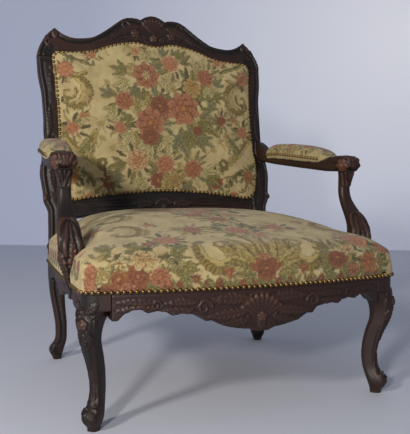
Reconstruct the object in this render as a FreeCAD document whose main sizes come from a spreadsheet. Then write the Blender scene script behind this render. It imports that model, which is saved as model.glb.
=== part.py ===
"""Open armchair with a raked, upholstered back, padded arms and curved legs.

The frame is walnut with mortise and tenon joints. The seat, the back and the arm pads are webbed,
stuffed and covered in patterned cloth, which is held by rows of domed nails.
Units are millimetres. X points to the sitter's left-hand side seen from the front, -Y is the front
of the chair and +Z is up. The floor is z = 0 and the origin is under the middle of the chair.
"""
import FreeCAD, Part
import math
import os
from FreeCAD import Placement, Rotation, Vector

# Driving dimensions: name, value, what it is
SIZES = [
    ("seat_front_half_width", 371.0, "outer face of a side rail at its front end, from the middle"),
    ("seat_rear_half_width", 342.0, "outer face of a rear post at the seat, from the middle"),
    ("seat_front_edge", 358.5, "front rail's outer face beside the leg, ahead of the origin"),
    ("seat_front_bow", 38.0, "how far the middle of the front rail stands out"),
    ("seat_rear_edge", 292.5, "rear face of the posts at the seat, behind the origin"),
    ("seat_side_swell", 5.0, "how far a side rail swells past a straight line"),
    ("rail_top", 312.0, "top of the seat rails above the floor"),
    ("rail_depth", 76.0, "height of the seat rails beside the legs"),
    ("rear_rail_depth", 62.0, "height of the rear seat rail"),
    ("rail_width", 33.0, "thickness of a side or rear seat rail"),
    ("corner_radius", 30.0, "rounding of the seat's front corners in plan"),
    ("front_block", 55.0, "side of the square leg top that the rails meet"),
    ("post_block_width", 46.0, "rear post at the seat rails, across the chair"),
    ("post_block_depth", 42.0, "rear post at the seat rails, front to back"),
    ("tenon_thickness", 12.0, "thickness of the rail tenons"),
    ("tenon_height", 46.0, "height of the rail tenons"),
    ("front_tenon_length", 27.0, "length of the tenons in the front legs"),
    ("rear_tenon_length", 18.0, "length of the tenons in the rear posts"),
    ("peg_diameter", 8.0, "draw-bore pegs through the tenons"),
    ("brace_leg", 58.0, "length of a corner block along a rail"),
    ("brace_height", 46.0, "height of a corner block"),
    ("foot_inset", 26.0, "front leg's centre line in from the seat's side face"),
    ("foot_setback", 38.0, "front leg's centre line back from the seat's front edge"),
    ("back_rake_percent", 19.5, "lean of the back, as a percentage of its height"),
    ("back_plane_height", 450.0, "height at which the back's front plane is set out"),
    ("back_plane_setback", 261.0, "front plane of the back at that height, behind the origin"),
    ("back_thickness", 38.0, "thickness of the back frame"),
    ("back_opening_half", 293.0, "inner face of a rear post, from the middle"),
    ("crest_joint", 432.5, "post top, up the back's plane from the set-out height"),
    ("crest_tenon", 30.0, "length of the tenon on top of a post"),
    ("back_tenon_length", 18.0, "length of the lower back rail's tenons"),
    ("cloth", 2.0, "thickness of the cover cloth with its lining"),
    ("clearance", 0.3, "air between a soft piece and its neighbour"),
    ("hem_height", 283.0, "lower edge of the seat cover above the floor"),
    ("seat_crown", 427.0, "top of the seat's crown above the floor"),
    ("web_width", 60.0, "width of a jute strap"),
    ("web_thickness", 2.0, "thickness of a jute strap"),
    ("hessian", 1.5, "thickness of the hessian over the straps"),
    ("back_pad_depth", 27.0, "how far the back's cushion stands out of the frame"),
    ("back_panel", 2.5, "thickness of the outside back panel"),
    ("arm_tip", 178.5, "front end of an arm, ahead of the origin"),
    ("arm_tip_half", 371.0, "centre line of an arm at its front end, from the middle"),
    ("arm_rear_half", 333.0, "centre line of an arm at the post, from the middle"),
    ("arm_height", 555.0, "middle of an arm's front end above the floor"),
    ("arm_climb", 57.0, "how far an arm climbs to the post"),
    ("arm_wood_width", 58.0, "widest part of an arm's wood"),
    ("arm_tenon", 20.0, "length of the tenon at the rear end of an arm"),
    ("support_foot", 195.5, "middle of an arm support's foot, ahead of the origin"),
    ("support_width", 49.0, "widest part of an arm support"),
    ("arm_pad_length", 309.0, "length of an arm's cushion"),
    ("arm_pad_setback", 97.0, "front of the cushion behind the arm's front end"),
    ("arm_pad_width", 70.0, "width of an arm's cushion"),
    ("arm_pad_rise", 55.0, "thickness of an arm's cushion"),
    ("screw_diameter", 5.0, "shank of the screws in the arm supports"),
    ("nail_diameter", 9.6, "domed head of a cover nail"),
    ("nail_rise", 3.2, "height of a cover nail's dome"),
    ("nail_pitch", 12.6, "distance from one cover nail to the next"),
]

document = FreeCAD.newDocument("armchair")
sheet = document.addObject("Spreadsheet::Sheet", "Sizes")
for row, (alias, value, note) in enumerate(SIZES, start=1):
    sheet.set(f"A{row}", alias)
    sheet.set(f"B{row}", str(value))
    sheet.set(f"C{row}", note)
    sheet.setAlias(f"B{row}", alias)
document.recompute()


def size(name):
    """One driving dimension, read from the sheet."""
    return float(sheet.get(name))


NODES = []


def keep(feature, label):
    """Name a finished sub-part and put it on the list of nodes."""
    feature.Label = label
    NODES.append(feature)
    return feature


def shape_node(label, shape):
    """A sub-part whose shape comes from Part's own functions."""
    feature = document.addObject("Part::Feature", label)
    feature.Shape = shape
    return keep(feature, label)


def mirrored(shape):
    """The same shape on the other side of the chair."""
    return shape.mirror(Vector(0, 0, 0), Vector(1, 0, 0))


def pair(name, shape):
    """A right-hand shape and its mirror image as two sub-parts."""
    shape_node(f"right_{name}", shape)
    shape_node(f"left_{name}", mirrored(shape))


def box(low, high):
    """A box between two corners."""
    spans = [b - a for a, b in zip(low, high)]
    return Part.makeBox(spans[0], spans[1], spans[2], Vector(*low))


def rod(start, end, radius):
    """A round bar between two points."""
    axis = Vector(*end) - Vector(*start)
    return Part.makeCylinder(radius, axis.Length, Vector(*start), axis)


# Names used often, all read from the sheet
FRONT_HALF = size("seat_front_half_width")
REAR_HALF = size("seat_rear_half_width")
FRONT_EDGE = -size("seat_front_edge")
REAR_EDGE = size("seat_rear_edge")
RAIL_TOP = size("rail_top")
RAIL_LOW = RAIL_TOP - size("rail_depth")
CLEAR = size("clearance")
CLOTH = size("cloth")
THICK = size("back_thickness")
OPENING = size("back_opening_half")
BLOCK_X = FRONT_HALF - size("front_block")
BLOCK_Y = FRONT_EDGE + size("front_block")
POST_X = REAR_HALF - size("post_block_width")
POST_Y = REAR_EDGE - size("post_block_depth")
POST_TOP = RAIL_TOP + 20
POST_LOW = RAIL_TOP - size("rear_rail_depth") - 14
PEG_RADIUS = size("peg_diameter") / 2
RAKE = math.atan(size("back_rake_percent") / 100)


# The back's own frame: its front plane leans back, x stays level and v runs up the slope
BACK = Placement(
    Vector(0, size("back_plane_setback"), size("back_plane_height")),
    Rotation(Vector(1, 0, 0), -math.degrees(RAKE)))


# Height of the crest joint and half width of the opening that the back's outlines are drawn for
DRAWN_JOINT = 880.0
DRAWN_LOW = 450.0
DRAWN_OPENING = 297.0


def slope(height):
    """Distance up the back's plane for a height in its outlines."""
    return (height - DRAWN_LOW) / (DRAWN_JOINT - DRAWN_LOW) * size("crest_joint")


def across(x):
    """Distance from the middle for one in the back's outlines."""
    return x * OPENING / DRAWN_OPENING


def on_back(shape):
    """Move a shape from the back's own frame to the chair's."""
    moved = shape.copy()
    moved.Placement = BACK.multiply(shape.Placement)
    return moved


def post_front(height):
    """Front plane of the back at a height above the floor."""
    rise = height - size("back_plane_height")
    return size("back_plane_setback") + rise * math.tan(RAKE)


# Curves
def arc_edge(a, b, c):
    """An arc through three points."""
    return Part.Arc(a, b, c).toShape()


def line_edge(a, b):
    """A straight edge."""
    return Part.LineSegment(a, b).toShape()


def rounded_section(width, depth, radius, move):
    """A rounded rectangle as eight edges; move(u, w) puts a flat point in space."""
    half_w = width / 2
    half_d = depth / 2
    r = min(radius, 0.98 * half_w, 0.98 * half_d)
    bend = r * (1 - math.sqrt(0.5))
    corners = [(1, -1), (1, 1), (-1, 1), (-1, -1)]
    edges = []
    starts = []
    for index, (sx, sy) in enumerate(corners):
        along = (sx * half_w, sy * (half_d - r))
        across = (sx * (half_w - r), sy * half_d)
        middle = (sx * (half_w - bend), sy * (half_d - bend))
        first, last = (across, along) if index % 2 == 0 else (along, across)
        starts.append((move(*first), move(*middle), move(*last)))
    for index in range(4):
        first, middle, last = starts[index]
        edges.append(arc_edge(first, middle, last))
        edges.append(line_edge(last, starts[(index + 1) % 4][0]))
    return Part.Wire(edges)


def loft(sections, ruled=False):
    """A solid through closed sections, smooth or with straight steps between them."""
    return Part.makeLoft(sections, True, ruled)


def slopes(places, values):
    """Slope at each point of a curve that never overshoots its points."""
    spans = [b - a for a, b in zip(places, places[1:])]
    rises = [(b - a) / span for a, b, span in zip(values, values[1:], spans)]
    inner = []
    for left, right, before, after in zip(rises, rises[1:], spans, spans[1:]):
        if left * right <= 0:
            inner.append(0.0)
        else:
            w1 = 2 * after + before
            w2 = after + 2 * before
            inner.append((w1 + w2) / (w1 / left + w2 / right))
    return [rises[0]] + inner + [rises[-1]]


def value_at(places, values, bends, place):
    """Height of that curve at a place along it."""
    index = 0
    while index < len(places) - 2 and place > places[index + 1]:
        index += 1
    span = places[index + 1] - places[index]
    u = (place - places[index]) / span
    rise = values[index + 1] - values[index]
    first = bends[index] * span
    last = bends[index + 1] * span
    curve = (first + last - 2 * rise) * u + 3 * rise - 2 * first - last
    return values[index] + u * (first + u * curve)


def even_rows(rows, count, measure=1):
    """The same rows at even steps; their first measure columns give the distance between rows."""
    places = [0.0]
    for a, b in zip(rows, rows[1:]):
        places.append(places[-1] + math.dist(a[:measure], b[:measure]))
    columns = [list(column) for column in zip(*rows)]
    bends = [slopes(places, column) for column in columns]
    result = []
    for step in range(count):
        place = places[-1] * step / (count - 1)
        result.append([value_at(places, column, bend, place)
                       for column, bend in zip(columns, bends)])
    return result


# Seat outline
def front_bow_circle():
    """Centre's depth and radius of the front rail's bowed face."""
    half = FRONT_HALF - size("corner_radius")
    bow = size("seat_front_bow")
    radius = (half * half + bow * bow) / (2 * bow)
    return FRONT_EDGE - bow + radius, radius


def side_line(y, inset=0.0):
    """Outer face of a straight side rail at a depth y."""
    front_y = FRONT_EDGE + size("corner_radius")
    rear_y = POST_Y
    share = (y - front_y) / (rear_y - front_y)
    return FRONT_HALF + share * (REAR_HALF - FRONT_HALF) - inset


def seat_section(height, front, side, rear, radius):
    """Level outline of the seat, drawn in at the front, the sides and the rear."""
    half_front = FRONT_HALF - side
    half_rear = REAR_HALF - side
    y_front = FRONT_EDGE + front
    y_rear = REAR_EDGE - rear
    share = max(0.0, 1 - front / 420)
    bow = size("seat_front_bow") * share
    swell = size("seat_side_swell")
    rear_radius = max(4.0, min(radius, rear + 6.0))
    bend = radius * (1 - math.sqrt(0.5))
    rear_bend = rear_radius * (1 - math.sqrt(0.5))

    def at(x, y):
        return Vector(x, y, height)

    def half_edges(side_sign):
        start = at(side_sign * (half_front - radius), y_front)
        corner = at(side_sign * (half_front - bend), y_front + bend)
        side_start = at(side_sign * half_front, y_front + radius)
        side_end = at(side_sign * half_rear, y_rear - rear_radius)
        middle = (side_start + side_end) * 0.5 + Vector(side_sign * swell, 0, 0)
        rear_corner = at(side_sign * (half_rear - rear_bend), y_rear - rear_bend)
        finish = at(side_sign * (half_rear - rear_radius), y_rear)
        points = [(start, corner, side_start), (side_start, middle, side_end)]
        points.append((side_end, rear_corner, finish))
        return points

    right = half_edges(1)
    left = half_edges(-1)
    edges = [arc_edge(left[0][0], at(0, y_front - bow), right[0][0])]
    edges += [arc_edge(*points) for points in right]
    edges.append(line_edge(right[2][2], left[2][2]))
    edges += [arc_edge(points[2], points[1], points[0]) for points in reversed(left)]
    return Part.Wire(edges)


# Front legs: an S-curve in the diagonal plane, as height, offset, depth, width, rounding
LEG_SECTIONS = [
    (0, 0, 26, 25, 8),
    (8, 1, 30, 28, 9),
    (20, 3, 39, 34, 12),
    (34, 3, 48, 38, 14),
    (48, -6, 43, 32, 13),
    (64, -14, 36, 27, 11),
    (90, -17, 37, 26, 12),
    (121, -13, 40, 28, 13),
    (155, -3, 44, 31, 14),
    (185, 8, 49, 34, 16),
    (212, 10, 57, 42, 20),
    (232, 4, 66, 55, 26),
    (250, 0, 68, 67, 30),
]


def front_leg():
    """Curved leg with its scrolled foot, and the square top that the rails meet."""
    x = FRONT_HALF - size("foot_inset")
    y = FRONT_EDGE + size("foot_setback")
    diagonal = math.sqrt(0.5)
    lift = RAIL_LOW - 236

    def section(height, offset, depth, width, radius):
        def move(u, w):
            along = offset + w
            return Vector(x + diagonal * (along + u), y + diagonal * (u - along), height)
        return rounded_section(width, depth, radius, move)

    stretch = (250 + lift) / 250
    rows = [(z * stretch, *rest) for z, *rest in LEG_SECTIONS]
    curve = loft([section(*row) for row in even_rows(rows, 17)])
    outline = seat_section(rows[-1][0], 0, 0, 0, size("corner_radius"))
    slab = Part.Face(outline).extrude(Vector(0, 0, RAIL_TOP - rows[-1][0]))
    corner = box((BLOCK_X, FRONT_EDGE - 60, 0), (FRONT_HALF + 20, BLOCK_Y, RAIL_TOP))
    return curve.fuse(slab.common(corner)).removeSplitter()


# Rear posts: leg, square at the seat, then the raked upright that frames the back
REAR_LEG_SECTIONS = [
    (0, 2, 26, 26, 9),
    (8, 3, 29, 29, 10),
    (20, 5, 36, 35, 11),
    (34, 3, 41, 40, 12),
    (49, -7, 35, 34, 12),
    (68, -13, 31, 31, 11),
    (98, -13, 32, 32, 12),
    (144, -7, 35, 35, 12),
    (196, -1, 41, 39, 10),
]

# Upright: height in the back's outlines, width, rounding
POST_OUTLINE = [
    (372, 48, 9),
    (412, 48, 9),
    (440, 50, 8),
    (457, 59, 7),
    (480, 60, 7),
    (530, 65, 7),
    (570, 61, 7),
    (640, 49, 7),
    (700, 50, 7),
    (765, 52, 7),
    (836, 61, 7),
]
CREST_END = across(360.0)


def upright_height(drawn):
    """Height above the floor for a height in the back's outlines."""
    base = size("back_plane_height")
    if drawn >= DRAWN_LOW:
        return base + slope(drawn) * math.cos(RAKE)
    return POST_TOP + (drawn - 332) / (DRAWN_LOW - 332) * (base - POST_TOP)


def rear_post():
    """Rear leg and upright in one piece, with the tenon for the crest rail on top."""
    centre_x = (POST_X + REAR_HALF) / 2
    centre_y = (POST_Y + REAR_EDGE) / 2
    diagonal = math.sqrt(0.5)

    def level(height, offset, width, depth, radius):
        x = centre_x + diagonal * offset
        y = centre_y + diagonal * offset + 6
        return rounded_section(width, depth, radius, lambda u, w: Vector(x + u, y + w, height))

    wide = size("post_block_width")
    deep = size("post_block_depth")
    stretch = POST_LOW / 236
    rows = [(z * stretch, *rest) for z, *rest in REAR_LEG_SECTIONS]
    rows.append((POST_LOW, 0, wide - 1, deep - 1, 8))
    lower = loft([level(*row) for row in even_rows(rows, 17)])
    block = box((POST_X, POST_Y, POST_LOW), (REAR_HALF, REAR_EDGE, POST_TOP))

    def raked(height, outer, radius, front, lean, depth):
        half = (outer + OPENING) / 2

        def move(u, w):
            back = w + depth / 2
            return Vector(half + u, front + back * math.cos(lean),
                          height - back * math.sin(lean))
        return rounded_section(outer - OPENING, depth, radius, move)

    top_height = size("back_plane_height") + size("crest_joint") * math.cos(RAKE)
    rows = [(POST_TOP - 12, REAR_HALF - 1, 8, POST_Y + 1, 0.0, deep - 2)]
    for drawn, width, radius in POST_OUTLINE:
        height = upright_height(drawn)
        lean = RAKE * min(1.0, max(0.0, (height - POST_TOP) / 110))
        front = max(post_front(height), POST_Y + 2 + 0.02 * (height - POST_TOP))
        rows.append((height, OPENING + width, radius, front, lean, THICK))
    rows.append((top_height, CREST_END, 5, post_front(top_height), RAKE, THICK))
    upper = loft([raked(*row) for row in even_rows(rows, 26)])
    tenon = on_back(box(*crest_tenon_corners()))
    return lower.fuse([block, upper, tenon]).removeSplitter()


TOP_TENON = 32.0
TOP_TENON_X = OPENING + 16


def crest_tenon_corners():
    """Lowest and highest corners of the tenon on top of a post, in the back's frame."""
    low_y = (THICK - size("tenon_thickness")) / 2
    low_v = size("crest_joint")
    return ((TOP_TENON_X, low_y, low_v - 1),
            (TOP_TENON_X + TOP_TENON, low_y + size("tenon_thickness"),
             low_v + size("crest_tenon")))


# PartDesign helpers
def new_body(label):
    """An empty body for one sub-part."""
    body = document.addObject("PartDesign::Body", label)
    return keep(body, label)


def origin_plane(body, role):
    """One of a body's own origin planes."""
    return next(item for item in body.Origin.OriginFeatures if item.Role == role)


def sketch_edges(body, role, name, curves):
    """A sketch on an origin plane, from a list of curves."""
    sketch = body.newObject("Sketcher::SketchObject", name)
    sketch.AttachmentSupport = [(origin_plane(body, role), "")]
    sketch.MapMode = "FlatFace"
    for curve in curves:
        sketch.addGeometry(curve, False)
    return sketch


def polygon(points):
    """Straight curves round a closed outline in a sketch."""
    corners = [Vector(x, y, 0) for x, y in points]
    return [Part.LineSegment(a, b) for a, b in zip(corners, corners[1:] + corners[:1])]


def pad(body, sketch, name, expression, reverse=False, midplane=False):
    """Push a sketch out by a size from the sheet."""
    feature = body.newObject("PartDesign::Pad", name)
    feature.Profile = sketch
    feature.setExpression("Length", expression)
    feature.Reversed = reverse
    feature.Midplane = midplane
    return feature


def pocket(body, sketch, name):
    """Cut a sketch right through, both ways."""
    feature = body.newObject("PartDesign::Pocket", name)
    feature.Profile = sketch
    feature.Type = "ThroughAll"
    feature.Midplane = True
    return feature


def body_box(body, kind, name, low, high):
    """An additive or subtractive box between two corners of the body."""
    feature = body.newObject(f"PartDesign::{kind}Box", name)
    feature.Length = high[0] - low[0]
    feature.Width = high[1] - low[1]
    feature.Height = high[2] - low[2]
    feature.Placement = Placement(Vector(*low), Rotation())
    return feature


def body_peg(body, name, start, end, radius):
    """A round hole cut in a body between two points."""
    feature = body.newObject("PartDesign::SubtractiveCylinder", name)
    axis = Vector(*end) - Vector(*start)
    feature.Radius = radius
    feature.Height = axis.Length
    feature.Placement = Placement(Vector(*start), Rotation(Vector(0, 0, 1), axis))
    return feature


# Tenons and pegs: one place for each, shared by the piece that has it and the piece that takes it
TENON_LOW = RAIL_TOP - 12 - size("tenon_height")
TENON_HIGH = TENON_LOW + size("tenon_height")
TENON = size("tenon_thickness")
UPPER_PEG = TENON_LOW + 0.68 * size("tenon_height")
LOWER_PEG = TENON_LOW + 0.30 * size("tenon_height")
FRONT_TENON_Y = FRONT_EDGE + 8
SIDE_TENON_X = FRONT_HALF - 14 - TENON
REAR_SIDE_X = REAR_HALF - 16 - TENON
REAR_TENON_Y = REAR_EDGE - 9 - TENON


def front_tenon():
    """Tenon of the front rail in the right-hand leg."""
    return ((BLOCK_X, FRONT_TENON_Y, TENON_LOW),
            (BLOCK_X + size("front_tenon_length"), FRONT_TENON_Y + TENON, TENON_HIGH))


def side_front_tenon():
    """Tenon of the right-hand side rail in the front leg."""
    return ((SIDE_TENON_X, BLOCK_Y - size("front_tenon_length"), TENON_LOW),
            (SIDE_TENON_X + TENON, BLOCK_Y, TENON_HIGH))


def side_rear_tenon():
    """Tenon of the right-hand side rail in the rear post."""
    return ((REAR_SIDE_X, POST_Y, TENON_LOW),
            (REAR_SIDE_X + TENON, POST_Y + size("rear_tenon_length"), TENON_HIGH))


def rear_tenon():
    """Tenon of the rear rail in the right-hand post."""
    return ((POST_X, REAR_TENON_Y, TENON_LOW),
            (POST_X + size("rear_tenon_length"), REAR_TENON_Y + TENON, TENON_HIGH))


def back_tenon():
    """Tenon of the lower back rail in the right-hand post, in the back's frame."""
    low_y = (THICK - TENON) / 2
    return ((OPENING, low_y, slope(428)),
            (OPENING + size("back_tenon_length"), low_y + TENON, slope(462)))


def seat_pegs():
    """Draw-bore pegs of the right-hand seat joints, as start and end."""
    front_x = BLOCK_X + size("front_tenon_length") / 2
    side_y = BLOCK_Y - size("front_tenon_length") / 2
    rear_x = POST_X + size("rear_tenon_length") / 2
    rear_side_y = POST_Y + size("rear_tenon_length") / 2
    return [
        ((front_x, BLOCK_Y, UPPER_PEG), (front_x, FRONT_TENON_Y - 2, UPPER_PEG)),
        ((BLOCK_X, side_y, LOWER_PEG), (SIDE_TENON_X + TENON + 4, side_y, LOWER_PEG)),
        ((rear_x, REAR_EDGE, UPPER_PEG), (rear_x, REAR_TENON_Y - 5, UPPER_PEG)),
        ((POST_X, rear_side_y, LOWER_PEG), (REAR_SIDE_X + TENON + 4, rear_side_y, LOWER_PEG)),
    ]


def back_pegs():
    """Pegs of the right-hand back joints, in the back's frame, driven from behind."""
    lower_x = OPENING + size("back_tenon_length") / 2
    upper_x = TOP_TENON_X + TOP_TENON / 2
    upper_v = size("crest_joint") + size("crest_tenon") / 2
    return [
        ((lower_x, THICK, slope(445)), (lower_x, 9, slope(445))),
        ((upper_x, THICK, upper_v), (upper_x, 9, upper_v)),
    ]


def peg_shapes():
    """All pegs on the right-hand side as solids."""
    seat = [rod(start, end, PEG_RADIUS) for start, end in seat_pegs()]
    back = [on_back(rod(start, end, PEG_RADIUS)) for start, end in back_pegs()]
    return seat + back


# Arms
# Section of an arm: place behind its tip, sideways and upward from its line, width, thickness,
# rounding. The line runs straight from the tip to the post.
ARM_SECTIONS = [
    (0, 0, 0, 26, 20, 9),
    (10, 0, -1, 37, 31, 13),
    (26, 1, -2, 44, 38, 14),
    (50, 3, -4, 46, 42, 12),
    (90, 4, -10, 48, 38, 10),
    (124, 3, -17, 55, 25, 8),
    (179, 2, -20, 58, 20, 7),
    (284, 2, -22, 58, 20, 7),
    (384, 2, -23, 52, 21, 7),
    (419, 1, -21, 42, 27, 8),
    (452, -1, -13, 33, 42, 9),
    (484, -1, -5, 30, 56, 9),
    (516, 0, 0, 28, 58, 9),
]
ARM_DRAWN = float(ARM_SECTIONS[-1][0])
ARM_DRAWN_WIDTH = 58.0
ARM_TIP = -size("arm_tip")
ARM_RUN = post_front(size("arm_height") + size("arm_climb")) + 20 - ARM_TIP


def arm_line(y):
    """Middle of an arm at a depth, as a distance from the chair's middle and a height."""
    share = (y - ARM_TIP) / ARM_RUN
    x = size("arm_tip_half") + share * (size("arm_rear_half") - size("arm_tip_half"))
    return x, size("arm_height") + share * size("arm_climb")


def arm_rows():
    """Sections of the right arm: depth, x, height, width, thickness, rounding."""
    wide = size("arm_wood_width") / ARM_DRAWN_WIDTH
    rows = []
    for place, aside, up, width, thickness, radius in ARM_SECTIONS:
        y = ARM_TIP + place * ARM_RUN / ARM_DRAWN
        x, z = arm_line(y)
        rows.append((y, x + aside, z + up, width * wide, thickness, radius))
    return rows


def upright_section(y, x, height, width, thickness, radius):
    """A rounded section that stands across the chair's depth."""
    return rounded_section(width, thickness, radius, lambda u, w: Vector(x + u, y, height + w))


def arm_blank():
    """An arm before its joints are cut."""
    return loft([upright_section(*row) for row in even_rows(arm_rows(), 26)])


# Arm support: height above the rail, sideways and forward from its line, width, depth, rounding
SUPPORT_SECTIONS = [
    (-60, -4, 2, 22, 30, 6),
    (-32, -3, -5, 26, 36, 7),
    (0, -1, -14, 36, 46, 9),
    (33, 2, -24, 50, 52, 11),
    (60, 3, -31, 51, 52, 12),
    (78, 4, -28, 49, 46, 12),
    (100, 4, -18, 47, 37, 11),
    (124, 3, 0, 41, 29, 10),
    (146, 1, 13, 34, 25, 9),
    (170, 0, 19, 30, 23, 8),
    (193, 1, 16, 30, 25, 8),
    (218, 2, 7, 36, 34, 9),
    (236, 2, 0, 40, 40, 9),
]
SUPPORT_DRAWN = 224.0
SUPPORT_DRAWN_WIDTH = 51.0
SUPPORT_Y = -size("support_foot")
SUPPORT_TOP_Y = ARM_TIP + 30


def support_rows():
    """Sections of the right arm support: height, x, y, width, depth, rounding."""
    under = size("arm_height") - 19
    rise = (under - RAIL_TOP) / SUPPORT_DRAWN
    wide = size("support_width") / SUPPORT_DRAWN_WIDTH
    foot_x = side_line(SUPPORT_Y)
    top_x = arm_line(SUPPORT_TOP_Y)[0]
    rows = []
    for up, aside, forward, width, depth, radius in SUPPORT_SECTIONS:
        share = (up + 60) / 296
        x = foot_x + share * (top_x - foot_x) + aside
        y = SUPPORT_Y + share * (SUPPORT_TOP_Y - SUPPORT_Y) + forward
        z = RAIL_TOP + up * (rise if up > 0 else 1)
        rows.append((z, x, y, width * wide, depth, radius))
    return rows


def support_blank(grow=0.0):
    """The curved support of an arm, or the same shape a little larger."""
    wires = []
    for z, x, y, width, depth, radius in even_rows(support_rows(), 16):
        def move(u, w, x=x, y=y, z=z):
            return Vector(x + u, y + w, z)
        wires.append(rounded_section(width + 2 * grow, depth + 2 * grow, radius, move))
    return loft(wires)


def side_inner(y):
    """Inner face of a side rail at a depth y."""
    return side_line(y) - size("rail_width")


# Screws of the arm supports, as heights below the rail's top
SCREW_DROPS = (20.0, 46.0)
SCREW_HEIGHTS = [RAIL_TOP - drop for drop in SCREW_DROPS]
SCREW_FACE = side_inner(SUPPORT_Y)
SCREW_END = side_line(SUPPORT_Y) - 3


def screw_holes():
    """Holes for the support's screws, with the countersink of each head."""
    radius = size("screw_diameter") / 2
    holes = []
    for height in SCREW_HEIGHTS:
        start = (SCREW_FACE - 2, SUPPORT_Y, height)
        shank = rod(start, (SCREW_END, SUPPORT_Y, height), radius)
        head = Part.makeCone(2 * radius, radius, 1.2 * radius + 1, Vector(SCREW_FACE, *start[1:]),
                             Vector(1, 0, 0))
        holes.append(shank.fuse(head))
    return holes


def screw_solids():
    """The slotted screws that hold an arm support to its rail."""
    solids = []
    for hole, height in zip(screw_holes(), SCREW_HEIGHTS):
        room = box((SCREW_FACE - 30, SUPPORT_Y - 20, height - 10),
                   (SCREW_FACE + 0.4, SUPPORT_Y + 20, height + 10))
        slot = box((SCREW_FACE - 1, SUPPORT_Y - 0.6, height - 10),
                   (SCREW_FACE + 1.6, SUPPORT_Y + 0.6, height + 10))
        solids.append(hole.cut(room).cut(slot))
    return solids


# Frame pieces
print("frame")
leg = front_leg()
for low, high in (front_tenon(), side_front_tenon()):
    leg = leg.cut(box(low, high))
post = rear_post()
for low, high in (side_rear_tenon(), rear_tenon()):
    post = post.cut(box(low, high))
post = post.cut(on_back(box(*back_tenon())))

arm = arm_blank()
arm_end_x = size("arm_rear_half")
arm_end_z = size("arm_height") + size("arm_climb")
arm_face_y = post_front(arm_end_z)
ARM_TENON_HALF = 7.0
arm_tenon_box = box((arm_end_x - ARM_TENON_HALF, arm_face_y - 8, arm_end_z - 18),
                    (arm_end_x + ARM_TENON_HALF, arm_face_y + size("arm_tenon"), arm_end_z + 14))
arm_full = arm.cut(post).Solids
arm_full = max(arm_full, key=lambda solid: solid.Volume)
arm_full = arm_full.fuse(arm_tenon_box.common(post)).removeSplitter()
post = post.cut(arm_tenon_box)

support = support_blank().cut(arm_blank())
support = max(support.Solids, key=lambda solid: solid.Volume)
dowel_x = arm_line(SUPPORT_TOP_Y)[0] + 2
dowel = rod((dowel_x, SUPPORT_TOP_Y, size("arm_height") - 35),
            (dowel_x, SUPPORT_TOP_Y, size("arm_height") + 7), 6)
support = support.fuse(dowel).removeSplitter()
arm_full = arm_full.cut(dowel)
for hole in screw_holes():
    support = support.cut(hole)

pegs = peg_shapes()
for peg in pegs:
    leg = leg.cut(peg)
    post = post.cut(peg)

pair("rear_post", post)
pair("armrest", arm_full)
pair("arm_support", support)
shape_node("joint_pegs", Part.makeCompound(pegs + [mirrored(peg) for peg in pegs]))
screws = screw_solids()
shape_node("support_screws", Part.makeCompound(screws + [mirrored(item) for item in screws]))


# Seat rails
# Lower edge of the front rail from the middle outwards, as x and height
APRON_EDGE = [
    (0, 192), (16, 193), (30, 199), (52, 201), (76, 206), (98, 214), (112, 222), (126, 221),
    (138, 234), (160, 238), (178, 241), (196, 236), (204, 244), (226, 247), (246, 243),
    (256, 251), (276, 251), (292, 243), (304, 230),
]
APRON_DRAWN_HALF = 316.0
APRON_DRAWN_TOP = 312.0


def apron_cut():
    """Space under the shaped lower edge of the front rail, as sketch curves."""
    wide = BLOCK_X / APRON_DRAWN_HALF
    right = [Vector(x * wide, z + RAIL_TOP - APRON_DRAWN_TOP, 0) for x, z in APRON_EDGE]
    left = [Vector(-point.x, point.y, 0) for point in reversed(right[1:])]
    edge = left + right
    low = -5.0
    curves = [Part.LineSegment(a, b) for a, b in zip(edge, edge[1:])]
    right_end = Vector(BLOCK_X + 40, right[-1].y, 0)
    left_end = Vector(-right_end.x, right_end.y, 0)
    right_low = Vector(right_end.x, low, 0)
    left_low = Vector(left_end.x, low, 0)
    curves.append(Part.LineSegment(edge[-1], right_end))
    curves.append(Part.LineSegment(right_end, right_low))
    curves.append(Part.LineSegment(right_low, left_low))
    curves.append(Part.LineSegment(left_low, left_end))
    curves.append(Part.LineSegment(left_end, edge[0]))
    return curves


def front_rail():
    """Bowed front rail with a shaped lower edge and a tenon at each end."""
    body = new_body("front_seat_rail")
    centre, radius = front_bow_circle()
    y_end = centre - math.sqrt(radius * radius - BLOCK_X * BLOCK_X)
    inner = FRONT_EDGE + size("rail_width")
    right_front = Vector(BLOCK_X, y_end, 0)
    left_front = Vector(-BLOCK_X, y_end, 0)
    right_inner = Vector(BLOCK_X, inner, 0)
    left_inner = Vector(-BLOCK_X, inner, 0)
    plan = [
        Part.Arc(left_front, Vector(0, centre - radius, 0), right_front),
        Part.LineSegment(right_front, right_inner),
        Part.LineSegment(right_inner, left_inner),
        Part.LineSegment(left_inner, left_front),
    ]
    sketch = sketch_edges(body, "XY_Plane", "front_rail_plan", plan)
    pad(body, sketch, "front_rail_pad", "Sizes.rail_top")
    cut = sketch_edges(body, "XZ_Plane", "front_rail_edge", apron_cut())
    pocket(body, cut, "front_rail_shape")
    low, high = front_tenon()
    body_box(body, "Additive", "front_tenon_right", low, high)
    body_box(body, "Additive", "front_tenon_left",
             (-high[0], low[1], low[2]), (-low[0], high[1], high[2]))
    for number, (start, end) in enumerate(seat_pegs()[:1]):
        body_peg(body, f"front_peg_right_{number}", start, end, PEG_RADIUS)
        start = (-start[0], *start[1:])
        end = (-end[0], *end[1:])
        body_peg(body, f"front_peg_left_{number}", start, end, PEG_RADIUS)
    return body


front_rail_body = front_rail()
document.recompute()


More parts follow.
